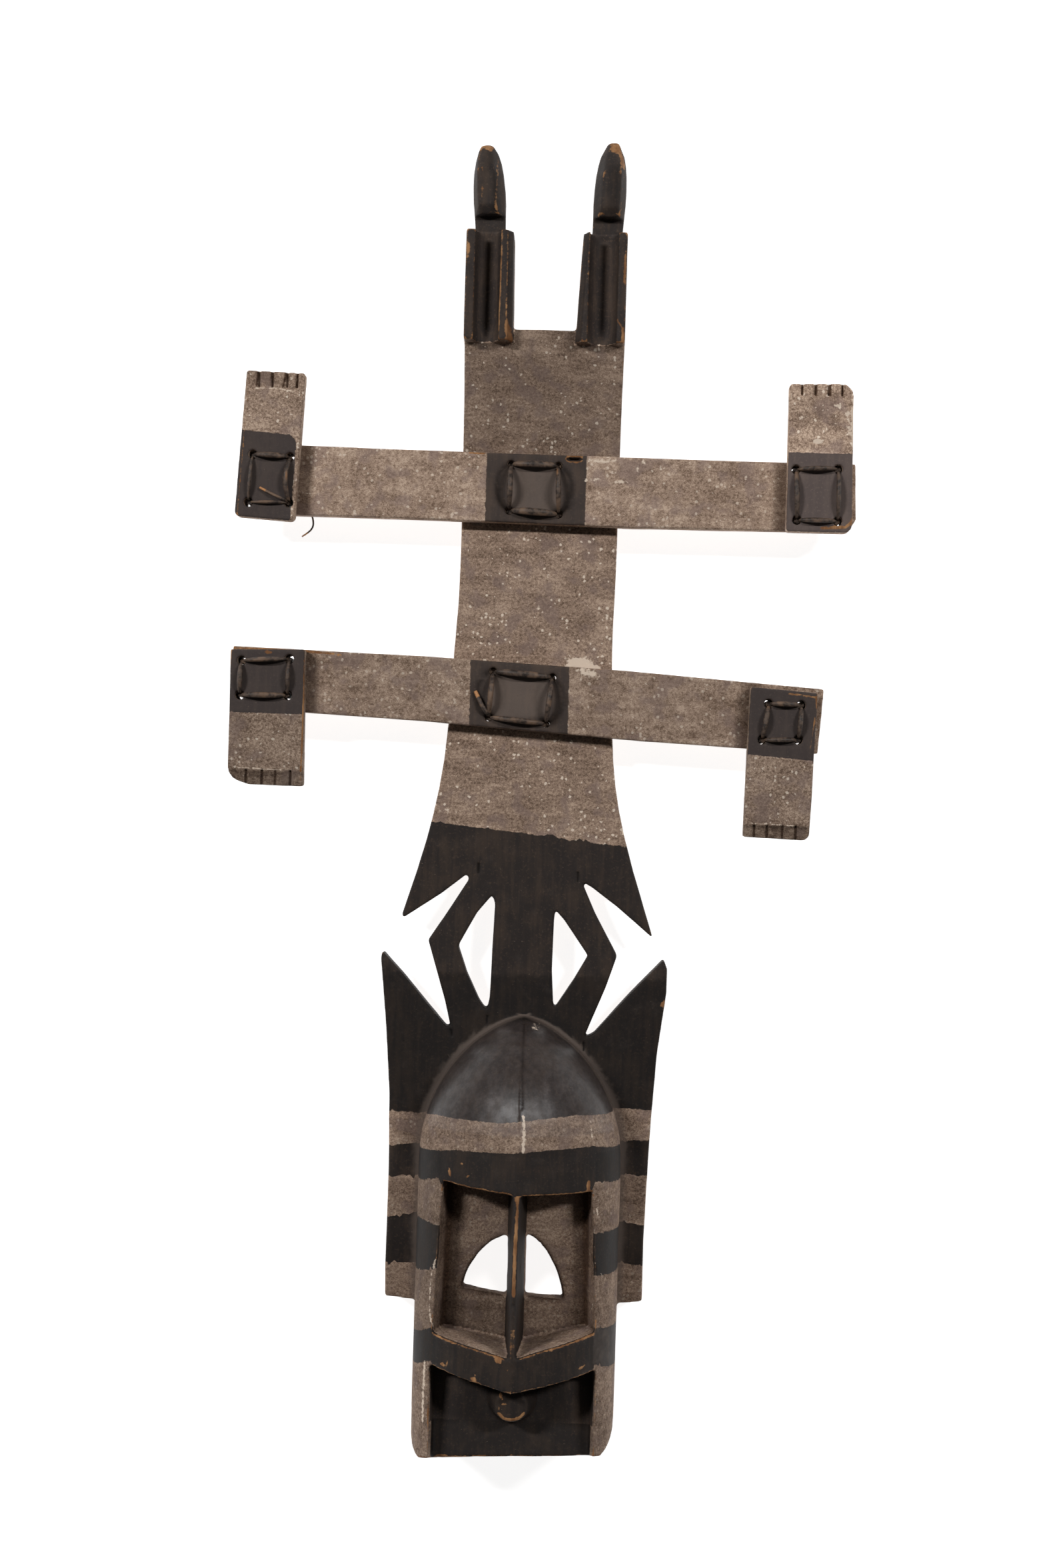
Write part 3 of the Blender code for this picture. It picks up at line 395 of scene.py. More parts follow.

# How light or dark the paint is from place to place, with some painted light and shade; the light stripes first, then
# the black
PLANK_TOP_Y, STRIPES_Y, BROW_Y, BAND_Y, HORNS_Y, FACE_Z = 0.26, -0.26, -0.325, -0.465, 0.3, 0.05
PLANK_TOP_TONE, WING_TONE, PANEL_TONE, NOSE_TONE, HOLLOW_TONE = 0.66, 1.0, 1.25, 1.25, 0.6
# Painted shade: strips of the horn facets that face away from the lamps are painted darker
SHADED_FACETS = [(-49.5, 545, -49.5, 528, 5, 0.5), (-45.5, 522, -44.6, 492, 2.6, 0.55), (57.5, 528, 56, 494, 6, 0.45)]
left = x < 0
on_face = z > FACE_Z
tone = np.where(y > PLANK_TOP_Y, PLANK_TOP_TONE, 1.0)
tone = np.where(y < STRIPES_Y, np.where(on_face, 0.80, WING_TONE), tone)
tone = np.where((y < BROW_Y) & on_face, np.where(left, 0.62, 0.76), tone)
tone = np.where((y < BAND_Y) & on_face, np.where(left, 0.78, 0.72), tone)
recess_tone = 0.92 + 0.28 * rise(x, 0.0, 0.01) - 0.25 * rise(-y, 0.41, 0.44)
tone = np.where(recess > 0.5, np.where(shelf > 0.5, 1.1, recess_tone), tone)
painted = black > 0
on_wings = painted & (y < -0.16) & (z < 0.045)
tone = np.where(painted, np.where(y > -0.16, 1.38, 1.0 - 0.3 * ((y < -0.30) & (away > 0.064))), tone)
tone = np.where(on_wings, 0.70 + 1.05 * rise(-y, 0.295, 0.32) - 0.4 * rise(-y, 0.38, 0.40), tone)
# Painted light: the mouth panel is painted lighter towards its side walls, where they shade it
tone = np.where(painted & (panel > 0.5), PANEL_TONE * (1 + 0.9 * rise(away, 0.036, 0.056)), tone)
# Painted light: the floor of each horn's trough is painted lighter, where both lamps leave it in shade
painted_trough_light = rise(0.041 - z, 0.0, 0.014) * in_groove * (facing[:, 2] > 0.1) * (z > 0.0245)
tone = np.where(painted & (y > HORNS_Y), 1.75 * (1 - strokes(spots, SHADED_FACETS)) * (1 + 0.7 * painted_trough_light), tone)
tone = np.where(nose, NOSE_TONE, tone)
tone = np.where(worn_inside, HOLLOW_TONE, tone)
plainness = np.where((z < 0.02) | (facing[:, 2] < -0.2) | hollow, 1.0, np.where(z > 0.06, 0.02, 0.5))


# Shader helpers, and the effects that more than one finish uses

def wire(tree, made, wires):
    """Links each socket to, or sets each plain value on, the input with its label."""
    for label, value in wires.items():
        if isinstance(value, bpy.types.NodeSocket):
            tree.links.new(value, made.inputs[label])
        else:
            made.inputs[label].default_value = value


def put(tree, kind, wires=None, **settings):
    """Adds a node with its settings and wires."""
    made = tree.nodes.new(kind)
    for label, value in settings.items():
        setattr(made, label, value)
    wire(tree, made, wires or {})
    return made


def sums(tree, operation, first, second=0.0, third=0.0):
    return put(tree, "ShaderNodeMath", {0: first, 1: second, 2: third}, operation=operation).outputs[0]


def times(tree, first, second):
    return sums(tree, "MULTIPLY", first, second)


def about_middle(tree, field, gain, base):
    """A base value, raised or lowered by how far a 0 to 1 field is from its middle."""
    return sums(tree, "MULTIPLY_ADD", sums(tree, "SUBTRACT", field, 0.5), gain, base)


def mixed(tree, share, first, second):
    return put(tree, "ShaderNodeMix", {0: share, 2: first, 3: second}).outputs[0]


def blend(tree, share, first, second, mode="MIX"):
    made = put(tree, "ShaderNodeMix", {0: share, 6: first, 7: second}, data_type="RGBA", blend_type=mode)
    return made.outputs[2]


def ramp(tree, value, low, high, to_low=0.0, to_high=1.0):
    """A smooth step from low to high."""
    wires = {"Value": value, "From Min": low, "From Max": high, "To Min": to_low, "To Max": to_high}
    return put(tree, "ShaderNodeMapRange", wires, interpolation_type="SMOOTHSTEP").outputs[0]


def noise(tree, place, scale, detail=2.0, rough=0.55):
    wires = {"Vector": place, "Scale": scale, "Detail": detail, "Roughness": rough}
    return put(tree, "ShaderNodeTexNoise", wires).outputs["Fac"]


def stretched(tree, place, scale):
    return put(tree, "ShaderNodeMapping", {"Vector": place, "Scale": scale}).outputs[0]


def new_group(name, inputs, outputs):
    tree = bpy.data.node_groups.new(name, "ShaderNodeTree")
    for label, kind, value in inputs:
        tree.interface.new_socket(label, in_out="INPUT", socket_type="NodeSocket" + kind).default_value = value
    for label, kind in outputs:
        tree.interface.new_socket(label, in_out="OUTPUT", socket_type="NodeSocket" + kind)
    return tree, tree.nodes.new("NodeGroupInput").outputs, tree.nodes.new("NodeGroupOutput")


def use(tree, group, wires):
    return put(tree, "ShaderNodeGroup", wires, node_tree=group).outputs


def grey(value):
    return (value, value, value, 1.0)


def new_finish(name):
    """A material, with its node tree, its shader and its Object coordinates."""
    made = bpy.data.materials.new(name)
    made.use_nodes = True
    tree = made.node_tree
    return made, tree, tree.nodes["Principled BSDF"], put(tree, "ShaderNodeTexCoord").outputs["Object"]


# Chalky paint with sand in it: clouds, blotches, dark pores and pale grains
chalk, given, out = new_group("chalk_paint", [
    ("Place", "Vector", (0, 0, 0)), ("Ground", "Color", grey(0.2)), ("Light", "Color", grey(0.4)),
    ("Dark", "Color", grey(0.08)), ("Mauve", "Color", grey(0.15)), ("Grit", "Float", 1.0), ("Flecks", "Float", 0.5)], [
    ("Color", "Color"), ("Height", "Float")])
at = given["Place"]
cloud = noise(chalk, at, 26.0, 4.0, 0.6)
patch = noise(chalk, at, 85.0, 3.0, 0.6)
speck = noise(chalk, at, 430.0, 3.0, 0.75)
sand = noise(chalk, at, 1100.0, 2.0, 0.6)
wiped = put(chalk, "ShaderNodeMapping", {"Vector": at, "Rotation": (0, 0, 0.7),
                                         "Scale": (26.0, 120.0, 60.0)}).outputs[0]
shade = about_middle(chalk, cloud, 1.7, 0.5)
shade = about_middle(chalk, patch, 0.9, shade)
shade = about_middle(chalk, noise(chalk, wiped, 1.0, 3.0, 0.6), 1.6, shade)
grit = about_middle(chalk, sand, 2.6, about_middle(chalk, speck, 4.0, 0.0))
shade = sums(chalk, "MULTIPLY_ADD", grit, given["Grit"], shade)
coat = blend(chalk, ramp(chalk, shade, 0.46, -0.35), given["Ground"], given["Dark"])
coat = blend(chalk, ramp(chalk, shade, 0.52, 1.25), coat, given["Light"])
veil = noise(chalk, at, 60.0, 2.0, 0.5)
coat = blend(chalk, ramp(chalk, veil, 0.50, 0.66, 0.0, 0.55), coat, given["Mauve"])
drift = put(chalk, "ShaderNodeTexNoise", {"Vector": at, "Scale": 420.0, "Detail": 1.0}).outputs["Color"]
drift = put(chalk, "ShaderNodeVectorMath", {0: drift, "Scale": 0.0022}, operation="SCALE").outputs[0]
bent = put(chalk, "ShaderNodeVectorMath", {0: at, 1: drift}, operation="ADD").outputs[0]
cells = put(chalk, "ShaderNodeTexVoronoi", {"Vector": bent, "Scale": 290.0, "Randomness": 1.0})
lot = put(chalk, "ShaderNodeSeparateColor", {0: cells.outputs["Color"]}).outputs[0]
crowd = ramp(chalk, noise(chalk, at, 22.0, 2.0), 0.35, 0.65, 0.92, 0.74)
size = ramp(chalk, sums(chalk, "SUBTRACT", lot, crowd), 0.0, 0.10, 0.08, 0.40)
fleck = ramp(chalk, sums(chalk, "SUBTRACT", size, cells.outputs["Distance"]), 0.0, 0.06)
fleck = times(chalk, fleck, given["Flecks"])
coat = blend(chalk, fleck, coat, (0.78, 0.66, 0.54, 1.0))
height = sums(chalk, "MULTIPLY_ADD", speck, 0.6, times(chalk, patch, 0.4))
wire(chalk, out, {"Color": coat, "Height": sums(chalk, "MULTIPLY_ADD", fleck, 0.35, height)})

# Soot black paint: brushed along the wood, browner where it is thin
soot, given, out = new_group("soot_paint", [
    ("Place", "Vector", (0, 0, 0)), ("Black", "Color", grey(0.02)), ("Thin", "Color", grey(0.05)),
    ("Thinness", "Float", 0.4)], [("Color", "Color"), ("Height", "Float"), ("Dry", "Float")])
at = given["Place"]
brushed = noise(soot, stretched(soot, at, (210.0, 16.0, 210.0)), 1.0, 4.0, 0.6)
cloud = noise(soot, at, 42.0, 3.0, 0.6)
speck = noise(soot, at, 480.0, 2.0, 0.6)
thin = times(soot, ramp(soot, sums(soot, "ADD", brushed, cloud), 0.85, 1.25), given["Thinness"])
coat = blend(soot, thin, given["Black"], given["Thin"])
coat = blend(soot, times(soot, ramp(soot, speck, 0.56, 0.70), 0.55), coat, given["Thin"])
specks = ramp(soot, noise(soot, at, 620.0, 2.0, 0.7), 0.70, 0.78, 0.0, 0.45)
coat = blend(soot, specks, coat, (0.20, 0.15, 0.115, 1.0))
height = sums(soot, "ADD", times(soot, brushed, 0.5), times(soot, speck, 0.3))
wire(soot, out, {"Color": coat, "Height": height, "Dry": thin})

# A ragged edge: turns a soft field into a mask with a broken outline
ragged, given, out = new_group("ragged_edge", [
    ("Place", "Vector", (0, 0, 0)), ("Field", "Float", 0.0), ("Reach", "Float", 0.5), ("Scale", "Float", 300.0),
    ("Softness", "Float", 0.08)], [("Mask", "Float")])
tatter = sums(ragged, "SUBTRACT", noise(ragged, given["Place"], given["Scale"], 4.0, 0.65), 0.5)
field = sums(ragged, "MULTIPLY_ADD", tatter, given["Reach"], given["Field"])
half = times(ragged, given["Softness"], -1.0)
wire(ragged, out, {"Mask": ramp(ragged, field, half, given["Softness"])})

# Bare wood: pale tan with darker grain along the length
grain, given, out = new_group("bare_wood", [
    ("Place", "Vector", (0, 0, 0)), ("Light", "Color", grey(0.4)), ("Dark", "Color", grey(0.2))], [
    ("Color", "Color"), ("Height", "Float")])
streak = noise(grain, stretched(grain, given["Place"], (320.0, 14.0, 320.0)), 1.0, 5.0, 0.6)
drift = noise(grain, given["Place"], 60.0, 2.0)
share = ramp(grain, sums(grain, "ADD", streak, drift), 0.8, 1.25)
wire(grain, out, {"Color": blend(grain, share, given["Dark"], given["Light"]), "Height": streak})


def painted_wood(name, ground, light_grain, dark_grain, mauve, black_paint, thin_black, grit=1.0, flecks=0.7,
                 thinness=0.45):
    """The finish of a painted piece, laid by the marks on its mesh."""
    wood, dark_wood = (0.36, 0.19, 0.085, 1), (0.17, 0.075, 0.030, 1)
    dull, glossy = 0.66, 0.36
    made, tree, shader, place = new_finish(name)

    def mark(label):
        return put(tree, "ShaderNodeAttribute", attribute_name=label).outputs["Fac"]

    def tatters(field, low, reach, scale, softness):
        wires = {"Place": place, "Field": sums(tree, "SUBTRACT", field, low), "Reach": reach, "Scale": scale,
                 "Softness": softness}
        return use(tree, ragged, wires)["Mask"]

    light = use(tree, chalk, {
        "Place": place, "Ground": ground, "Light": light_grain, "Dark": dark_grain, "Mauve": mauve, "Grit": grit,
        "Flecks": times(tree, mark("flecked"), flecks)})
    dark = use(tree, soot, {"Place": place, "Black": black_paint, "Thin": thin_black, "Thinness": thinness})
    bare = use(tree, grain, {"Place": place, "Light": wood, "Dark": dark_wood})
    in_black = tatters(mark("black"), 0.0, 2.4, 230.0, 0.35)
    coat = blend(tree, in_black, light["Color"], dark["Color"])
    tone = put(tree, "ShaderNodeCombineColor", {0: mark("tone"), 1: mark("tone"), 2: mark("tone")}).outputs[0]
    coat = blend(tree, 1.0, coat, tone, "MULTIPLY")
    scuffed = ramp(tree, noise(tree, place, 140.0, 5.0, 0.7), 0.34, 0.68, 0.09, 0.21)
    # Polished black is painted lighter in scuffed patches: partly real gloss, partly painted sheen
    coat = blend(tree, times(tree, mark("polish_and_sheen"), scuffed), coat, (0.135, 0.108, 0.104, 1.0))
    # Darker where dirty and where shade falls: dirt and painted shade
    coat = blend(tree, mark("dirt_and_shade"), coat, blend(tree, 1.0, coat, (0.22, 0.175, 0.145, 1.0), "MULTIPLY"))
    dusty = tatters(mark("dust"), 0.32, 0.55, 90.0, 0.34)
    coat = blend(tree, times(tree, dusty, 0.5), coat, (0.170, 0.130, 0.108, 1.0))
    crust = tatters(mark("pale"), 0.55, 1.9, 330.0, 0.13)
    coat = blend(tree, times(tree, crust, 0.9), coat, (0.68, 0.56, 0.45, 1.0))
    rubbed = tatters(mark("worn"), 0.60, 0.85, 300.0, 0.11)
    coat = blend(tree, rubbed, coat, bare["Color"])
    gloss = put(tree, "ShaderNodeClamp", {0: mark("polish_and_sheen")}).outputs[0]
    dry_black = sums(tree, "MULTIPLY_ADD", dark["Dry"], 0.15,
                     sums(tree, "MULTIPLY_ADD", gloss, glossy - dull, dull))
    rough = mixed(tree, rubbed, mixed(tree, in_black, 0.92, dry_black), 0.72)
    height = mixed(tree, in_black, light["Height"], times(tree, dark["Height"], 0.4))
    height = mixed(tree, rubbed, height, times(tree, bare["Height"], 0.4))
    bump = put(tree, "ShaderNodeBump", {"Strength": 0.55, "Distance": 0.0006, "Height": height})
    varnish = times(tree, mark("polish_and_sheen"), ramp(tree, scuffed, 0.09, 0.21, 0.14, 0.30))
    wire(tree, shader, {
        "Base Color": coat, "Roughness": rough, "Normal": bump.outputs[0], "Coat Weight": varnish,
        "Coat Roughness": 0.36, "Specular IOR Level": 0.16})
    return made


mask = finished(mask_mesh, "carved_mask", MASK_TRIANGLES, {
    "black": np.clip(black, -30, 30), "worn": worn, "dirt_and_shade": dirt_and_shade, "pale": pale, "dust": dust, "polish_and_sheen": polish_and_sheen,
    "tone": tone, "flecked": np.where(y < -0.16, 0.3, 1.0) * (z > 0.0135)}, plainness)
mask.data.materials.append(painted_wood(
    "mask_paint", ground=(0.26, 0.18, 0.132, 1), light_grain=(0.43, 0.315, 0.235, 1),
    dark_grain=(0.115, 0.075, 0.052, 1), mauve=(0.185, 0.130, 0.112, 1), black_paint=(0.0165, 0.0128, 0.0115, 1),
    thin_black=(0.046, 0.031, 0.022, 1)))
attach(mask, "root")
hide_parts("mask_and_plank")

# ------------------------------------------------------------------------------
# The crossbars: two flat boards split from the same wood, 15 mm thick, laid across the plank's face.
# Painted grey, with black squares where the thongs go through and black ends under the hands.

BAR_SKIN = 0.0011
BAR_TRIANGLES = 60000
BAR_FACE = 0.0453
BAR_WAVES = [(0.00020, (0.05, 0.022, 0.02)), (0.00008, (0.012, 0.007, 0.008))]
BAR_MARKS = {
    "upper_crossbar": {
        "square": (-45.6, 39.3), "ends": (-196.0, 203.0), "seed": 31, "tone": 1.04,
        "pale": [(66, 261.5, 9, 2.2, 4, 0.8), (47, 263, 6, 2, 0, 0.8), (52, 279, 17, 2.2, 0, 0.75),
                 (38.4, 262.6, 1.6, 1.6, 0, 1.1), (82, 272, 2, 3, 0, 1.0), (88, 279, 2.4, 4, 0, 0.9)],
        "scratches": trail(0.7, 0.8, (-170, 243), (-152, 238)) + trail(0.6, 0.8, (-199, 245), (-183, 244)),
        "rubs": trail(0.9, 0.8, (-140, 286.5), (-122, 286)) + trail(0.8, 0.7, (-60, 283), (-48, 282.5)),
        "gash": (28.8, 279.9, 7.0, 1.7, 0.006), "loop": (-4.5, 253.5, 21, 20),
        "bows": [(-24.9, 254.5), (16.0, 253.2)]},
    "lower_crossbar": {
        "square": (-54.0, 30.0), "ends": (-189.0, 178.5), "seed": 41, "tone": 0.84,
        "pale": [(46, 99, 12, 4, -10, 0.8), (-60, 88, 8, 5, 0, 0.5)],
        "scratches": trail(0.7, 0.7, (-120, 82), (-104, 80)),
        "rubs": trail(1.0, 0.85, (-256, 111.5), (-200, 110.5), (-165, 108.5)) + trail(
            1.4, 0.9, (180, 79.5), (232, 78.0)) + trail(2.2, 0.9, (237.5, 76), (234, 38)),
        "gash": None, "loop": (-11.5, 76.5, 24, 17), "bows": [(-36.2, 78.5), (13.5, 74.5)]},
}


def cut_board(node, skin, marks, passes, waves, wear_passes, sharpness, nicks):
    """A board with a slightly uneven face and nicked edges; marks give its seed and any gash."""
    mesh = even_skin(node, skin)
    ends = ends_of_edges(mesh)
    spots = relaxed(places(mesh), ends, passes)
    put_places(mesh, spots)
    facing = outward(mesh)
    spread = sum(deep * lumps(spots, size, marks["seed"] + i) for i, (deep, size) in enumerate(waves))
    if marks.get("gash"):
        gx, gy, wide, high, deep = marks["gash"]
        dent = np.clip(1 - ((spots[:, 0] / MM - gx) / wide) ** 2 - ((spots[:, 1] / MM - gy) / high) ** 2, 0, 1)
        spread = spread - deep * np.sqrt(dent) * (spots[:, 2] > BAR_FACE - 0.002)
    spots = spots + facing * spread[:, None]
    swell = np.einsum("ij,ij->i", spots - relaxed(spots, ends, wear_passes), facing) / MM
    edge = np.clip(swell / sharpness, 0, 1)
    size, least, deep = nicks
    bitten = np.clip(lumps(spots, size, marks["seed"] + 2) - least, 0, 1) * rise(edge, 0.35, 0.8)
    spots = spots - facing * (bitten * deep)[:, None]
    put_places(mesh, spots)
    return mesh, spots, facing, swell, edge


for bar_name, marks in BAR_MARKS.items():
    mesh, spots, facing, swell, edge = cut_board(bar_name, BAR_SKIN, marks, 4, BAR_WAVES, 6, 0.5,
                                                 (0.005, 0.40, 0.0012))
    x, y, z = spots.T
    low, high = marks["square"]
    black = np.maximum(np.minimum(x / MM - low, high - x / MM), -12.0)
    black = np.where(facing[:, 2] < 0.2, np.minimum(black, -6.0), black)
    low, high = marks["ends"]
    under_hand = np.maximum(low - x / MM, x / MM - high)
    # Painted shadow of each hand on the bar beside it, with some darker paint in the same band
    hand_shadow_and_stain = rise(under_hand, -7.0, 3.0) * (1 - rise(under_hand, 12.0, 24.0)) * (z > BAR_FACE - 0.003)
    mx, my, half_wide, half_high = marks["loop"]
    within = np.clip(1.6 - ((x / MM - mx) / half_wide) ** 4 - ((y / MM - my) / half_high) ** 4, 0, 1)
    # Painted shadows: soft dark arcs on the black square either side of each bowed strand
    strand_shadows = np.zeros(len(spots))
    for bx, by in marks["bows"]:
        reach = np.hypot((x / MM - bx) / 11.5, (y / MM - by) / 19)
        strand_shadows = np.maximum(strand_shadows, np.exp(-((reach - 1) / 0.17) ** 2)) * (z > BAR_FACE - 0.002)
    tone = np.where(black > 0, 1.0, marks["tone"])
    # The creases are painted darker, as painted shade
    bar = finished(mesh, bar_name.replace("crossbar", "bar"), BAR_TRIANGLES, {
        "black": np.clip(black, -30, 30), "worn": 0.76 * edge + strokes(spots, marks["rubs"]) * (z > 0.03),
        "dirt_and_shade": 0.5 * np.clip(-swell / 0.5, 0, 1) + 0.62 * hand_shadow_and_stain + 0.85 * strand_shadows * (black > 0),
        "pale": (blobs(spots, marks["pale"]) + strokes(spots, marks["scratches"])) * (z > 0.04),
        "dust": 0.62 * within * (black > 0), "polish_and_sheen": np.zeros(len(spots)), "tone": tone,
        "flecked": (z > 0.032) * 1.0})
    bar.data.materials.append(painted_wood(
        bar_name + "_paint", ground=(0.31, 0.218, 0.160, 1), light_grain=(0.50, 0.375, 0.285, 1),
        dark_grain=(0.15, 0.098, 0.068, 1), mauve=(0.225, 0.160, 0.137, 1), black_paint=(0.047, 0.035, 0.030, 1),
        thin_black=(0.080, 0.056, 0.043, 1), thinness=0.7, flecks=0.45))
    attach(bar, "root")
    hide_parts(bar_name)

# ------------------------------------------------------------------------------
# The four hands: short boards of the same wood tied across the ends of the bars. Knife cuts part the fingers or
# toes. Painted grey, with a black square where the thongs go through.

HAND_SKIN = 0.0008
HAND_TRIANGLES = 36000
HAND_WAVES = [(0.00016, (0.03, 0.02, 0.02)), (0.00007, (0.007, 0.009, 0.008))]
HAND_MARKS = {
    "upper_left_hand": {
        "line": [(-256, 295.5), (-212, 292), (-206, 287)], "below": True, "seed": 51, "tone": 0.93, "soot": 1.05,
        "pale": [], "pale_lines": trail(0.8, 0.75, (-243, 330.5), (-226, 331), (-210, 328.5)),
        "strip": [(-207.6, 219, -203.6, 292, 3.0, 1)], "dark": (-227, 340, 24, 9), "step": -500,
        "cuts": [((-240.2, 346), (-241.2, 333)), ((-228.4, 346), (-228.6, 340)), ((-216.2, 346), (-218.8, 332)),
                 ((-206.5, 344), (-207.8, 332.5))],
        "rubs": trail(0.8, 0.62, (-254.5, 222), (-250, 300), (-247, 343))},
    "upper_right_hand": {
        "line": [(205, 288.5), (266, 288.5)], "below": True, "seed": 61, "tone": 1.24, "soot": 2.1,
        "pale": [(233.0, 298.0, 3.6, 1.7, 5, 2.3), (258, 322, 3, 6, -15, 0.7), (219, 318, 3, 2, 0, 0.8),
                 (250, 328, 3, 3, 0, 0.8), (258.5, 308, 2, 8, 0, 0.7)],
        "pale_lines": trail(1.2, 0.7, (262, 335), (261.5, 312), (262.6, 292)), "strip": [],
        "dark": (232, 325, 30, 16), "step": -500,
        "cuts": [((218.5, 347), (218.7, 337)), ((230.3, 347), (230.3, 337)), ((242.1, 347), (242.2, 337)),
                 ((252.2, 346), (252.4, 337))],
        "rubs": trail(1.6, 0.9, (238, 225.6), (258, 226.4), (264.5, 233)) + trail(
            1.1, 0.66, (264.8, 236), (264.6, 285), (263.5, 330))},
    "lower_left_hand": {
        "line": [(-258, 56.5), (-196, 56.5)], "below": False, "seed": 71, "tone": 0.68, "soot": 1.05, "pale": [],
        "pale_lines": trail(0.7, 0.6, (-246, 10), (-210, 9)), "strip": [], "dark": (-224, 0, 34, 9), "step": 7.0,
        "cuts": [((-240.7, 8.0), (-240.9, -4)), ((-227.3, 8.0), (-227.6, -6)), ((-215.9, 8.0), (-216.2, -6)),
                 ((-202.9, 8.0), (-203.2, -6))],
        "rubs": trail(0.9, 0.62, (-193.0, 104), (-194.5, 0)) + trail(
            1.4, 0.85, (-257, 108), (-258.5, 92)) + trail(1.4, 0.9, (-227, 107.8), (-222, 107.6))},
    "lower_right_hand": {
        "line": [(183, 33.5), (238, 29.6)], "below": False, "seed": 81, "tone": 0.78, "soot": 1.05, "pale": [],
        "pale_lines": trail(0.7, 0.6, (186, -24), (222, -25)), "strip": [], "dark": (208, -33, 34, 9), "step": -25.2,
        "cuts": [((189.3, -26), (189.0, -38)), ((199.8, -26), (199.6, -39)), ((212.8, -25.5), (212.6, -39.5)),
                 ((224.1, -25), (223.8, -39.5))],
        "rubs": trail(1.2, 0.85, (215, 85.5), (238, 83), (239, 75)) + trail(0.9, 0.6, (237, 66), (233, 30))},
}
for hand_name, marks in HAND_MARKS.items():
    mesh, spots, facing, swell, edge = cut_board(hand_name, HAND_SKIN, marks, 3, HAND_WAVES, 7, 0.42,
                                                 (0.0045, 0.42, 0.0011))
    x, y, z = spots.T
    past = beyond(marks["line"], x, y)
    black = np.clip(-past if marks["below"] else past, -30, 30)
    black = np.where(np.abs(facing[:, 2]) < 0.4, np.minimum(black, -3.0), black)
    if marks["strip"]:
        black = np.where(strokes(spots, marks["strip"]) > 0.5, -3.0, black)
    dx, dy, half_wide, half_high = marks["dark"]
    stain = np.exp(-((x / MM - dx) / half_wide) ** 4 - ((y / MM - dy) / half_high) ** 4) * (z > 0.058)
    stain *= 0.5 + 0.5 * lumps(spots, 0.006, marks["seed"] + 3)
    cut_lines = [line for top, foot in marks["cuts"] for line in trail(0.75, 1.2, top, foot)]
    cut_soil = strokes(spots, cut_lines) * (z > 0.05)
    toes = rise(marks["step"] - y / MM, -0.6, 0.8) * (z > 0.05)
    # The creases are painted darker, as painted shade; the stain and the knife cuts are darkened too
    hand = finished(mesh, hand_name.replace("_hand", "_hand_board"), HAND_TRIANGLES, {
        "black": black, "worn": 0.68 * edge + strokes(spots, marks["rubs"]) * (z > 0.05),
        "dirt_and_shade": 0.9 * np.clip(-swell / 0.4, 0, 1) + 0.55 * stain + cut_soil,
        "pale": (blobs(spots, marks["pale"]) + strokes(spots, marks["pale_lines"])) * (z > 0.058) + 0.3 * edge,
        "dust": np.zeros(len(spots)), "polish_and_sheen": np.zeros(len(spots)),
        "tone": np.where(black > 0, marks["soot"], marks["tone"] * (1 - 0.28 * toes)), "flecked": (z > 0.047) * 1.0})
    hand.data.materials.append(painted_wood(
        hand_name + "_paint", ground=(0.31, 0.218, 0.160, 1), light_grain=(0.52, 0.39, 0.295, 1),
        dark_grain=(0.145, 0.095, 0.067, 1), mauve=(0.225, 0.160, 0.137, 1), black_paint=(0.047, 0.036, 0.033, 1),
        thin_black=(0.072, 0.054, 0.046, 1), thinness=0.5, grit=1.15, flecks=0.75))
    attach(hand, "root")
    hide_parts(hand_name)

# ------------------------------------------------------------------------------
# The lashings: one thong of blackened leather for each joint, passed down and up through four holes.
# The strands in front stand off the wood in a bow. Cut ends stick out of three of them.

PLANK_BACK = 0.011
BAR_BACK = 0.0303
HAND_FACE = 0.0606
HAND_BACK = 0.0456
THONG = 0.0050
CENTRE_TAIL = ([(-37.2, 60.4, -4), (-38.2, 61.6, 2.2), (-41.0, 65.2, 4.6), (-43.8, 69.6, 4.2), (-47.2, 76.4, 2.6),
                (-49.4, 80.8, 1.9)], 3.6)
UPPER_LEFT_TAIL = ([(-212.2, 235.8, -4), (-213.4, 236.2, 2.0), (-217.2, 237.8, 4.2), (-223.0, 240.2, 3.9),
                    (-230.6, 244.0, 2.4), (-235.8, 246.6, 1.7)], 2.3)
THIN_TAIL = ([(-211.2, 234.6, -2.9), (-207.0, 233.6, -2.9), (-202.6, 232.5, -2.9), (-197.6, 230.7, -2.9),
              (-194.7, 227.6, -2.9), (-193.6, 223.4, -2.9), (-193.5, 218.6, -2.9), (-196.8, 213.6, -2.9),
              (-203.0, 209.7, -2.9)], 1.5)
# Tan spots on the strands: partly rubbed leather, partly painted highlights where the strands catch the lamps
THONG_RUBS_AND_HIGHLIGHTS = [(-213.0, 257, 1.4, 6, 0, 0.55), (-211.2, 247, 1.2, 5, 0, 0.36), (14.6, 268, 1.5, 5, 0, 0.5),
              (13.8, 258, 1.0, 4, 0, 0.4), (-37.5, 90, 1.2, 5, 0, 0.35)]
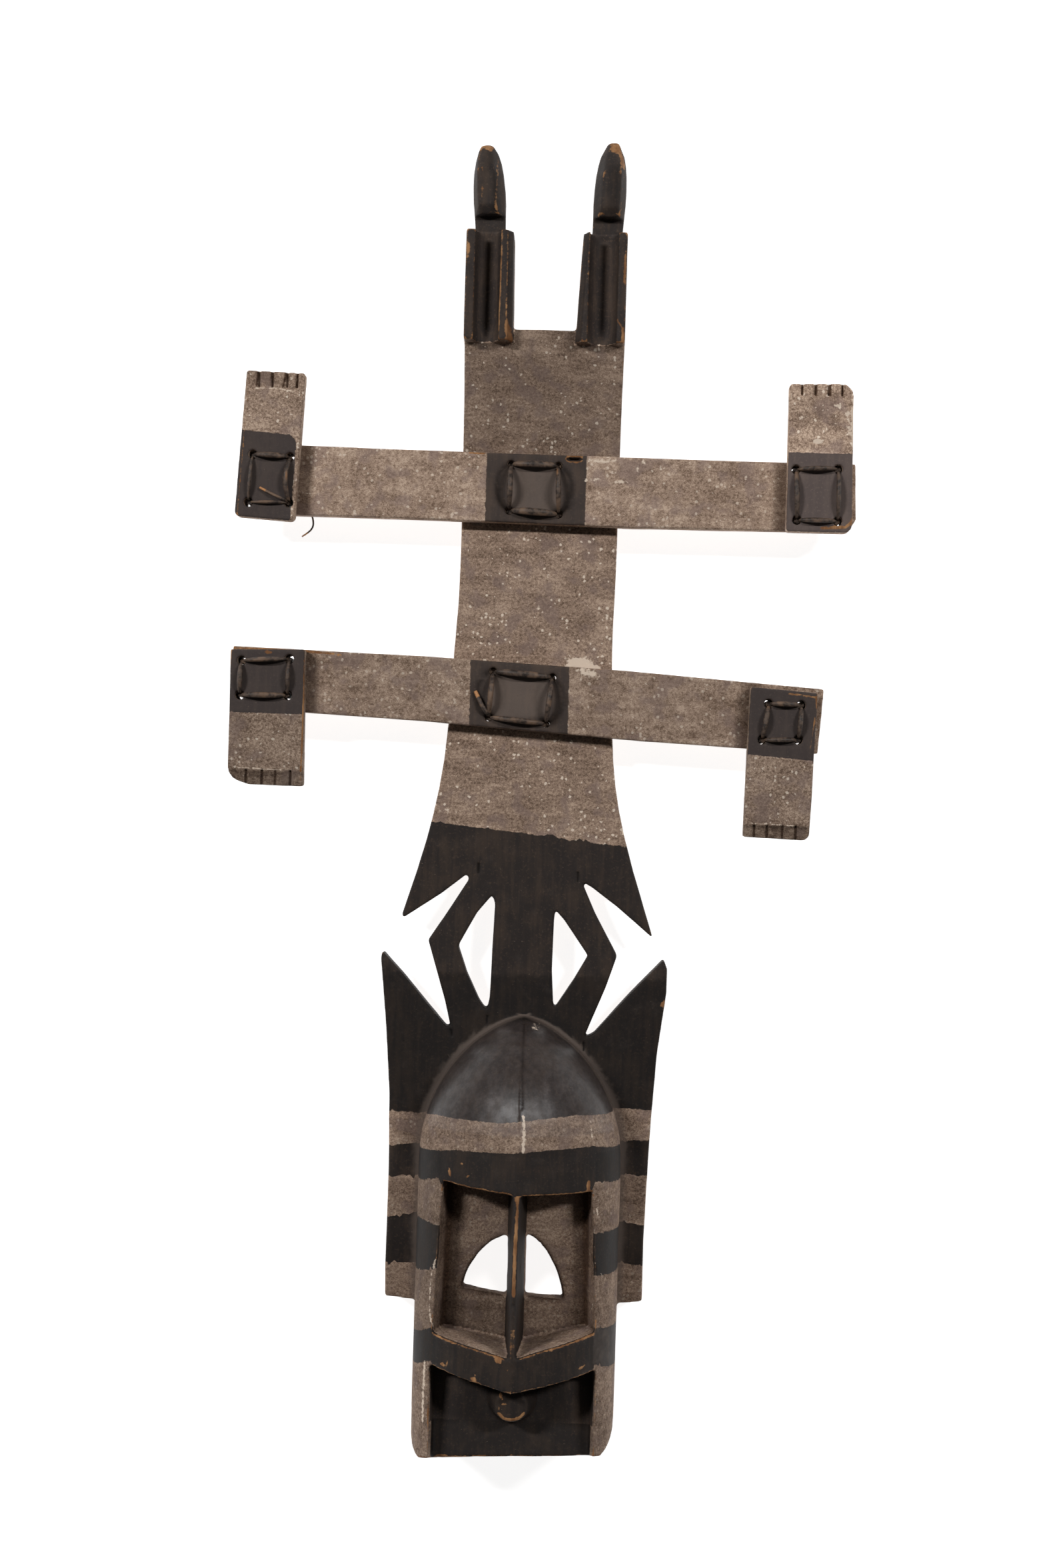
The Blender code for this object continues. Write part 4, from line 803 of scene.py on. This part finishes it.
LASHINGS = {
    "upper_bar_lashing": (
        PLANK_BACK, BAR_FACE, 6.6, [(-24.8, 274.3), (15.4, 273.8), (16.7, 232.6), (-25.3, 234.7)],
        [(5.6, 10.0, 0), (4.6, 12.5, 0), (5.8, 10.0, 0), (4.6, 12.5, 0)], ()),
    "lower_bar_lashing": (
        PLANK_BACK, BAR_FACE, 6.6, [(-34.8, 98.0), (15.7, 94.4), (11.2, 54.7), (-37.6, 58.9)],
        [(5.4, 10.0, 0), (4.4, 12.0, 0), (5.0, 9.5, 0), (4.4, 10.5, 0)], (CENTRE_TAIL,)),
    "upper_left_lashing": (
        BAR_BACK, HAND_FACE, 5.2, [(-242.7, 274.7), (-211.3, 273.3), (-211.2, 234.6), (-245.5, 234.2)],
        [(5.2, 7.5, 0), (4.6, 8.0, -3.0), (2.8, 4.5, 0), (3.2, 6.0, 0)], (UPPER_LEFT_TAIL, THIN_TAIL)),
    "upper_right_lashing": (
        BAR_BACK, HAND_FACE, 6.2, [(215.4, 274.2), (250.7, 275.3), (251.5, 231.5), (217.2, 231.6)],
        [(4.8, 7.5, 0), (4.2, 7.5, 0), (4.6, 7.5, 0), (4.2, 7.0, 0)], ()),
    "lower_left_lashing": (
        BAR_BACK, HAND_FACE, 5.4, [(-247.1, 100.5), (-206.8, 102.8), (-207.5, 71.9), (-247.9, 71.3)],
        [(4.6, 8.0, 0), (4.2, 7.0, 0), (4.6, 8.0, 0), (4.2, 7.0, 0)], ()),
    "lower_right_lashing": (
        BAR_BACK, HAND_FACE, 6.5, [(198.2, 76.7), (225.7, 76.3), (223.8, 47.1), (193.5, 46.2)],
        [(4.4, 7.0, 0), (4.2, 7.0, 0), (4.4, 7.0, 0), (4.2, 7.0, 0)], ()),
}

strap = bpy.data.node_groups.new("thong", "GeometryNodeTree")
for label, kind, value in (("Strands", "NodeSocketGeometry", None), ("Step", "NodeSocketFloat", 0.0006),
                           ("Thickness", "NodeSocketFloat", THONG), ("Flatness", "NodeSocketFloat", 0.85),
                           ("Unevenness", "NodeSocketFloat", 0.00025), ("Seed", "NodeSocketFloat", 0.0),
                           ("Leather", "NodeSocketMaterial", None)):
    socket = strap.interface.new_socket(label, in_out="INPUT", socket_type=kind)
    if value is not None:
        socket.default_value = value
strap.interface.new_socket("Thong", in_out="OUTPUT", socket_type="NodeSocketGeometry")
given = strap.nodes.new("NodeGroupInput").outputs
resampled = put(strap, "GeometryNodeResampleCurve", {"Curve": given["Strands"], "Length": given["Step"]},
                mode="LENGTH")
along = put(strap, "GeometryNodeSplineParameter").outputs["Length"]
marked = put(strap, "GeometryNodeStoreNamedAttribute", {"Geometry": resampled.outputs[0], "Name": "along",
                                                             "Value": along}, data_type="FLOAT")
place = put(strap, "GeometryNodeInputPosition").outputs[0]
wobble = put(strap, "ShaderNodeTexNoise", {"Vector": place, "W": given["Seed"], "Scale": 110.0, "Detail": 1.0},
             noise_dimensions="4D").outputs["Color"]
centred = put(strap, "ShaderNodeVectorMath", {0: wobble, 1: (0.5, 0.5, 0.5)}, operation="SUBTRACT").outputs[0]
moved = put(strap, "ShaderNodeVectorMath", {0: centred, "Scale": given["Unevenness"]}, operation="SCALE")
wavy = put(strap, "GeometryNodeSetPosition", {"Geometry": marked.outputs[0], "Offset": moved.outputs[0]})
ring = put(strap, "GeometryNodeCurvePrimitiveCircle", {"Resolution": 12})
radius = put(strap, "ShaderNodeMath", {0: given["Thickness"], 1: 0.5}, operation="MULTIPLY").outputs[0]
wire(strap, ring, {"Radius": radius})
squash = put(strap, "ShaderNodeCombineXYZ", {0: 1.0, 1: given["Flatness"], 2: 1.0}).outputs[0]
profile = put(strap, "GeometryNodeTransform", {"Geometry": ring.outputs["Curve"], "Scale": squash})
width = put(strap, "GeometryNodeInputRadius").outputs[0]
tube = put(strap, "GeometryNodeCurveToMesh", {"Curve": wavy.outputs[0], "Profile Curve": profile.outputs[0],
                                                   "Scale": width, "Fill Caps": True})
smooth = put(strap, "GeometryNodeSetShadeSmooth", {"Geometry": tube.outputs[0]})
real = put(strap, "GeometryNodeRealizeInstances", {"Geometry": smooth.outputs[0]})
dressed = put(strap, "GeometryNodeSetMaterial", {"Geometry": real.outputs[0], "Material": given["Leather"]})
out = strap.nodes.new("NodeGroupOutput")
strap.links.new(dressed.outputs[0], out.inputs[0])

leather, tree, shader, place = new_finish("thong_leather")
hide = noise(tree, place, 260.0, 4.0, 0.65)
pores = noise(tree, place, 1300.0, 2.0, 0.6)
rub = noise(tree, place, 85.0, 2.0, 0.5)
coat = blend(tree, ramp(tree, hide, 0.36, 0.64), (0.026, 0.019, 0.016, 1), (0.100, 0.068, 0.050, 1))
coat = blend(tree, ramp(tree, rub, 0.52, 0.66, 0.0, 0.6), coat, (0.20, 0.125, 0.08, 1))
coat = blend(tree, times(tree, ramp(tree, pores, 0.58, 0.72), 0.4), coat, (0.20, 0.14, 0.10, 1))
# Cut ends and rubbed spots are tan; the rubbed spots are partly painted highlights
cut_end_and_highlight = put(tree, "ShaderNodeAttribute", attribute_name="cut_end_and_highlight").outputs["Fac"]
coat = blend(tree, ramp(tree, cut_end_and_highlight, 0.2, 0.8), coat, (0.44, 0.21, 0.085, 1))
bump = put(tree, "ShaderNodeBump", {"Strength": 0.5, "Distance": 0.0003, "Height": sums(
    tree, "ADD", times(tree, hide, 0.7), times(tree, pores, 0.4))})
wire(tree, shader, {"Base Color": coat, "Roughness": ramp(tree, hide, 0.3, 0.7, 0.46, 0.66),
                    "Normal": bump.outputs[0], "Specular IOR Level": 0.3})

# One pass of a thong, as its share of the way, its share of the bow and its share of the thickness; the ends go
# down into the holes, on the side of each hole that is nearest the next one
PASS = [(0.0, -1.0, 0.50), (0.0, -0.40, 0.52), (0.004, 0.05, 0.60), (0.05, 0.32, 0.78), (0.16, 0.62, 0.94),
        (0.32, 0.92, 1.06), (0.5, 1.0, 1.10)]
PASS += [(1 - share, bow, width) for share, bow, width in PASS[-2::-1]]
INWARD = 0.0024
LOWEST = 0.0060
BEHIND = 0.35
HOLE = 7.6


def lay(curve, spots, radii):
    """A smooth run through the given spots."""
    spline = curve.splines.new("NURBS")
    spline.points.add(len(spots) - 1)
    for point, spot, radius in zip(spline.points, spots, radii):
        point.co = (*spot, 1)
        point.radius = radius
    spline.use_endpoint_u = True
    spline.order_u = 3
    spline.resolution_u = 8


def strand(curve, start, end, surface, side, thickness, bow, sideways):
    """One pass of a thong from hole to hole, bowed off the wood; its ends go down into the holes."""
    start, end = Vector((*start, 0)) * MM, Vector((*end, 0)) * MM
    run = (end - start).normalized()
    spots = []
    for share, part, width in PASS:
        spot = start.lerp(end, share) + run * INWARD * (1 - 2 * share)
        spot += Vector((-run.y, run.x, 0)) * sideways * math.sin(math.pi * share)
        height = part * LOWEST if part < 0 else part * max(bow - thickness / 2, thickness / 2)
        spots.append((spot.x, spot.y, surface + side * height))
    lay(curve, spots, [width * thickness / THONG for _, _, width in PASS])


for number, (lashing, (back, front, through, holes, passes, tails)) in enumerate(LASHINGS.items()):
    curve = bpy.data.curves.new(lashing + "_path", "CURVE")
    curve.dimensions = "3D"
    for i, start in enumerate(holes):
        end = holes[(i + 1) % len(holes)]
        thickness, bow, sideways = [value * MM for value in passes[i]]
        strand(curve, start, end, front, 1, thickness, bow, sideways)
        strand(curve, start, end, back, -1, thickness, bow * BEHIND, 0.0)
    middle = np.mean(holes, axis=0)
    for hole in np.array(holes):
        toward_middle = (middle - hole) / np.linalg.norm(middle - hole) * (HOLE / 2 - through / 2)
        hx, hy = (hole + toward_middle) * MM
        lay(curve, [(hx, hy, height) for height in (back - MM, (back + front) / 2, front - 5 * MM)],
            [through * MM / THONG] * 3)
    tips = []
    for spots, thickness in tails:
        surface = back if spots[0][2] == spots[-1][2] else front
        spots = [(tx * MM, ty * MM, surface + tz * MM) for tx, ty, tz in spots]
        lay(curve, spots, [thickness * MM / THONG * (1 if i < len(spots) - 1 else 0.8) for i in range(len(spots))])
        tips.append(spots[-1])
    path = placed(lashing + "_path", curve)
    made = path.modifiers.new("thong", "NODES")
    made.node_group = strap
    for item in strap.interface.items_tree:
        if item.name == "Leather":
            made[item.identifier] = leather
        if item.name == "Seed":
            made[item.identifier] = float(number)
    mesh = result(path)
    spots = places(mesh)
    cut_end_and_highlight = np.zeros(len(spots))
    for tip in tips:
        cut_end_and_highlight = np.maximum(cut_end_and_highlight, rise(-np.linalg.norm(spots - np.array(tip), axis=1), -0.0075, -0.0045))
    cut_end_and_highlight = np.maximum(cut_end_and_highlight, blobs(spots, THONG_RUBS_AND_HIGHLIGHTS) * (spots[:, 2] > front))
    mesh.attributes.new("cut_end_and_highlight", "FLOAT", "POINT").data.foreach_set("value", cut_end_and_highlight.astype(np.float32))
    thong = placed(lashing.replace("lashing", "thong"), mesh)
    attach(thong, "root")
    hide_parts(lashing)

# ------------------------------------------------------------------------------
# The studio: a plain pale floor that the mask lies on, two soft lights beyond the horns, to the left and
# right, and the camera looking straight down on it.

FLOOR_SIZE = 14.0
floor_mesh = bpy.data.meshes.new("floor")
reach = FLOOR_SIZE / 2
floor_mesh.from_pydata([(-reach, -reach, 0), (reach, -reach, 0), (reach, reach, 0), (-reach, reach, 0)], [],
                       [(0, 1, 2, 3)])
floor = placed("floor", floor_mesh)
floor.location.z = -0.0004
paper, tree, shader, place = new_finish("floor_paper")
fibre = noise(tree, place, 40.0, 3.0)
wire(tree, shader, {
    "Base Color": blend(tree, fibre, (0.78, 0.775, 0.77, 1), (0.81, 0.805, 0.80, 1)), "Roughness": 0.95,
    "Specular IOR Level": 0.1, "Emission Color": (1, 1, 1, 1), "Emission Strength": 0.86})
floor_mesh.materials.append(paper)

LIGHTS = [("left_light", (-2.75, 1.8, 3.6), (1.1, 0.3), 134.0), ("right_light", (2.75, 1.8, 3.6), (1.1, 0.3), 102.0)]
for name, spot, (wide, high), power in LIGHTS:
    lamp = bpy.data.lights.new(name, "AREA")
    lamp.shape = "RECTANGLE"
    lamp.size, lamp.size_y = wide, high
    lamp.energy = power
    light = placed(name, lamp)
    back = Vector(spot).normalized()
    along = (Vector((1, 0, 0)) - back * back.x).normalized()
    turn = Matrix((along, back.cross(along), back)).transposed()
    light.matrix_world = Matrix.Translation(spot) @ turn.to_4x4()
world = bpy.data.worlds.new("studio")
world.use_nodes = True
world.node_tree.nodes["Background"].inputs["Color"].default_value = (1.0, 0.99, 0.98, 1)
world.node_tree.nodes["Background"].inputs["Strength"].default_value = 0.07
bpy.context.scene.world = world
bpy.context.scene.view_settings.view_transform = "Standard"

DISTANCE = 2.0
FRAME_HEIGHT = 1.3406
SENSOR = 36.0
ROLL = math.radians(1.7)
YAW = math.radians(1.2)
AIM = Vector((-0.0074, 0.0032, 0.030))
toward = Vector((math.sin(YAW), 0, math.cos(YAW)))
right = Vector((math.cos(ROLL), math.sin(ROLL), 0))
right = (right - toward * right.dot(toward)).normalized()
up = toward.cross(right)
lens = bpy.data.cameras.new("camera")
lens.sensor_fit = "VERTICAL"
lens.sensor_height = SENSOR
lens.lens = SENSOR * DISTANCE / FRAME_HEIGHT
camera = placed("camera", lens)
camera.matrix_world = Matrix((
    (right.x, up.x, toward.x, AIM.x + toward.x * DISTANCE), (right.y, up.y, toward.y, AIM.y + toward.y * DISTANCE),
    (right.z, up.z, toward.z, AIM.z + toward.z * DISTANCE), (0, 0, 0, 1)))
bpy.context.scene.camera = camera
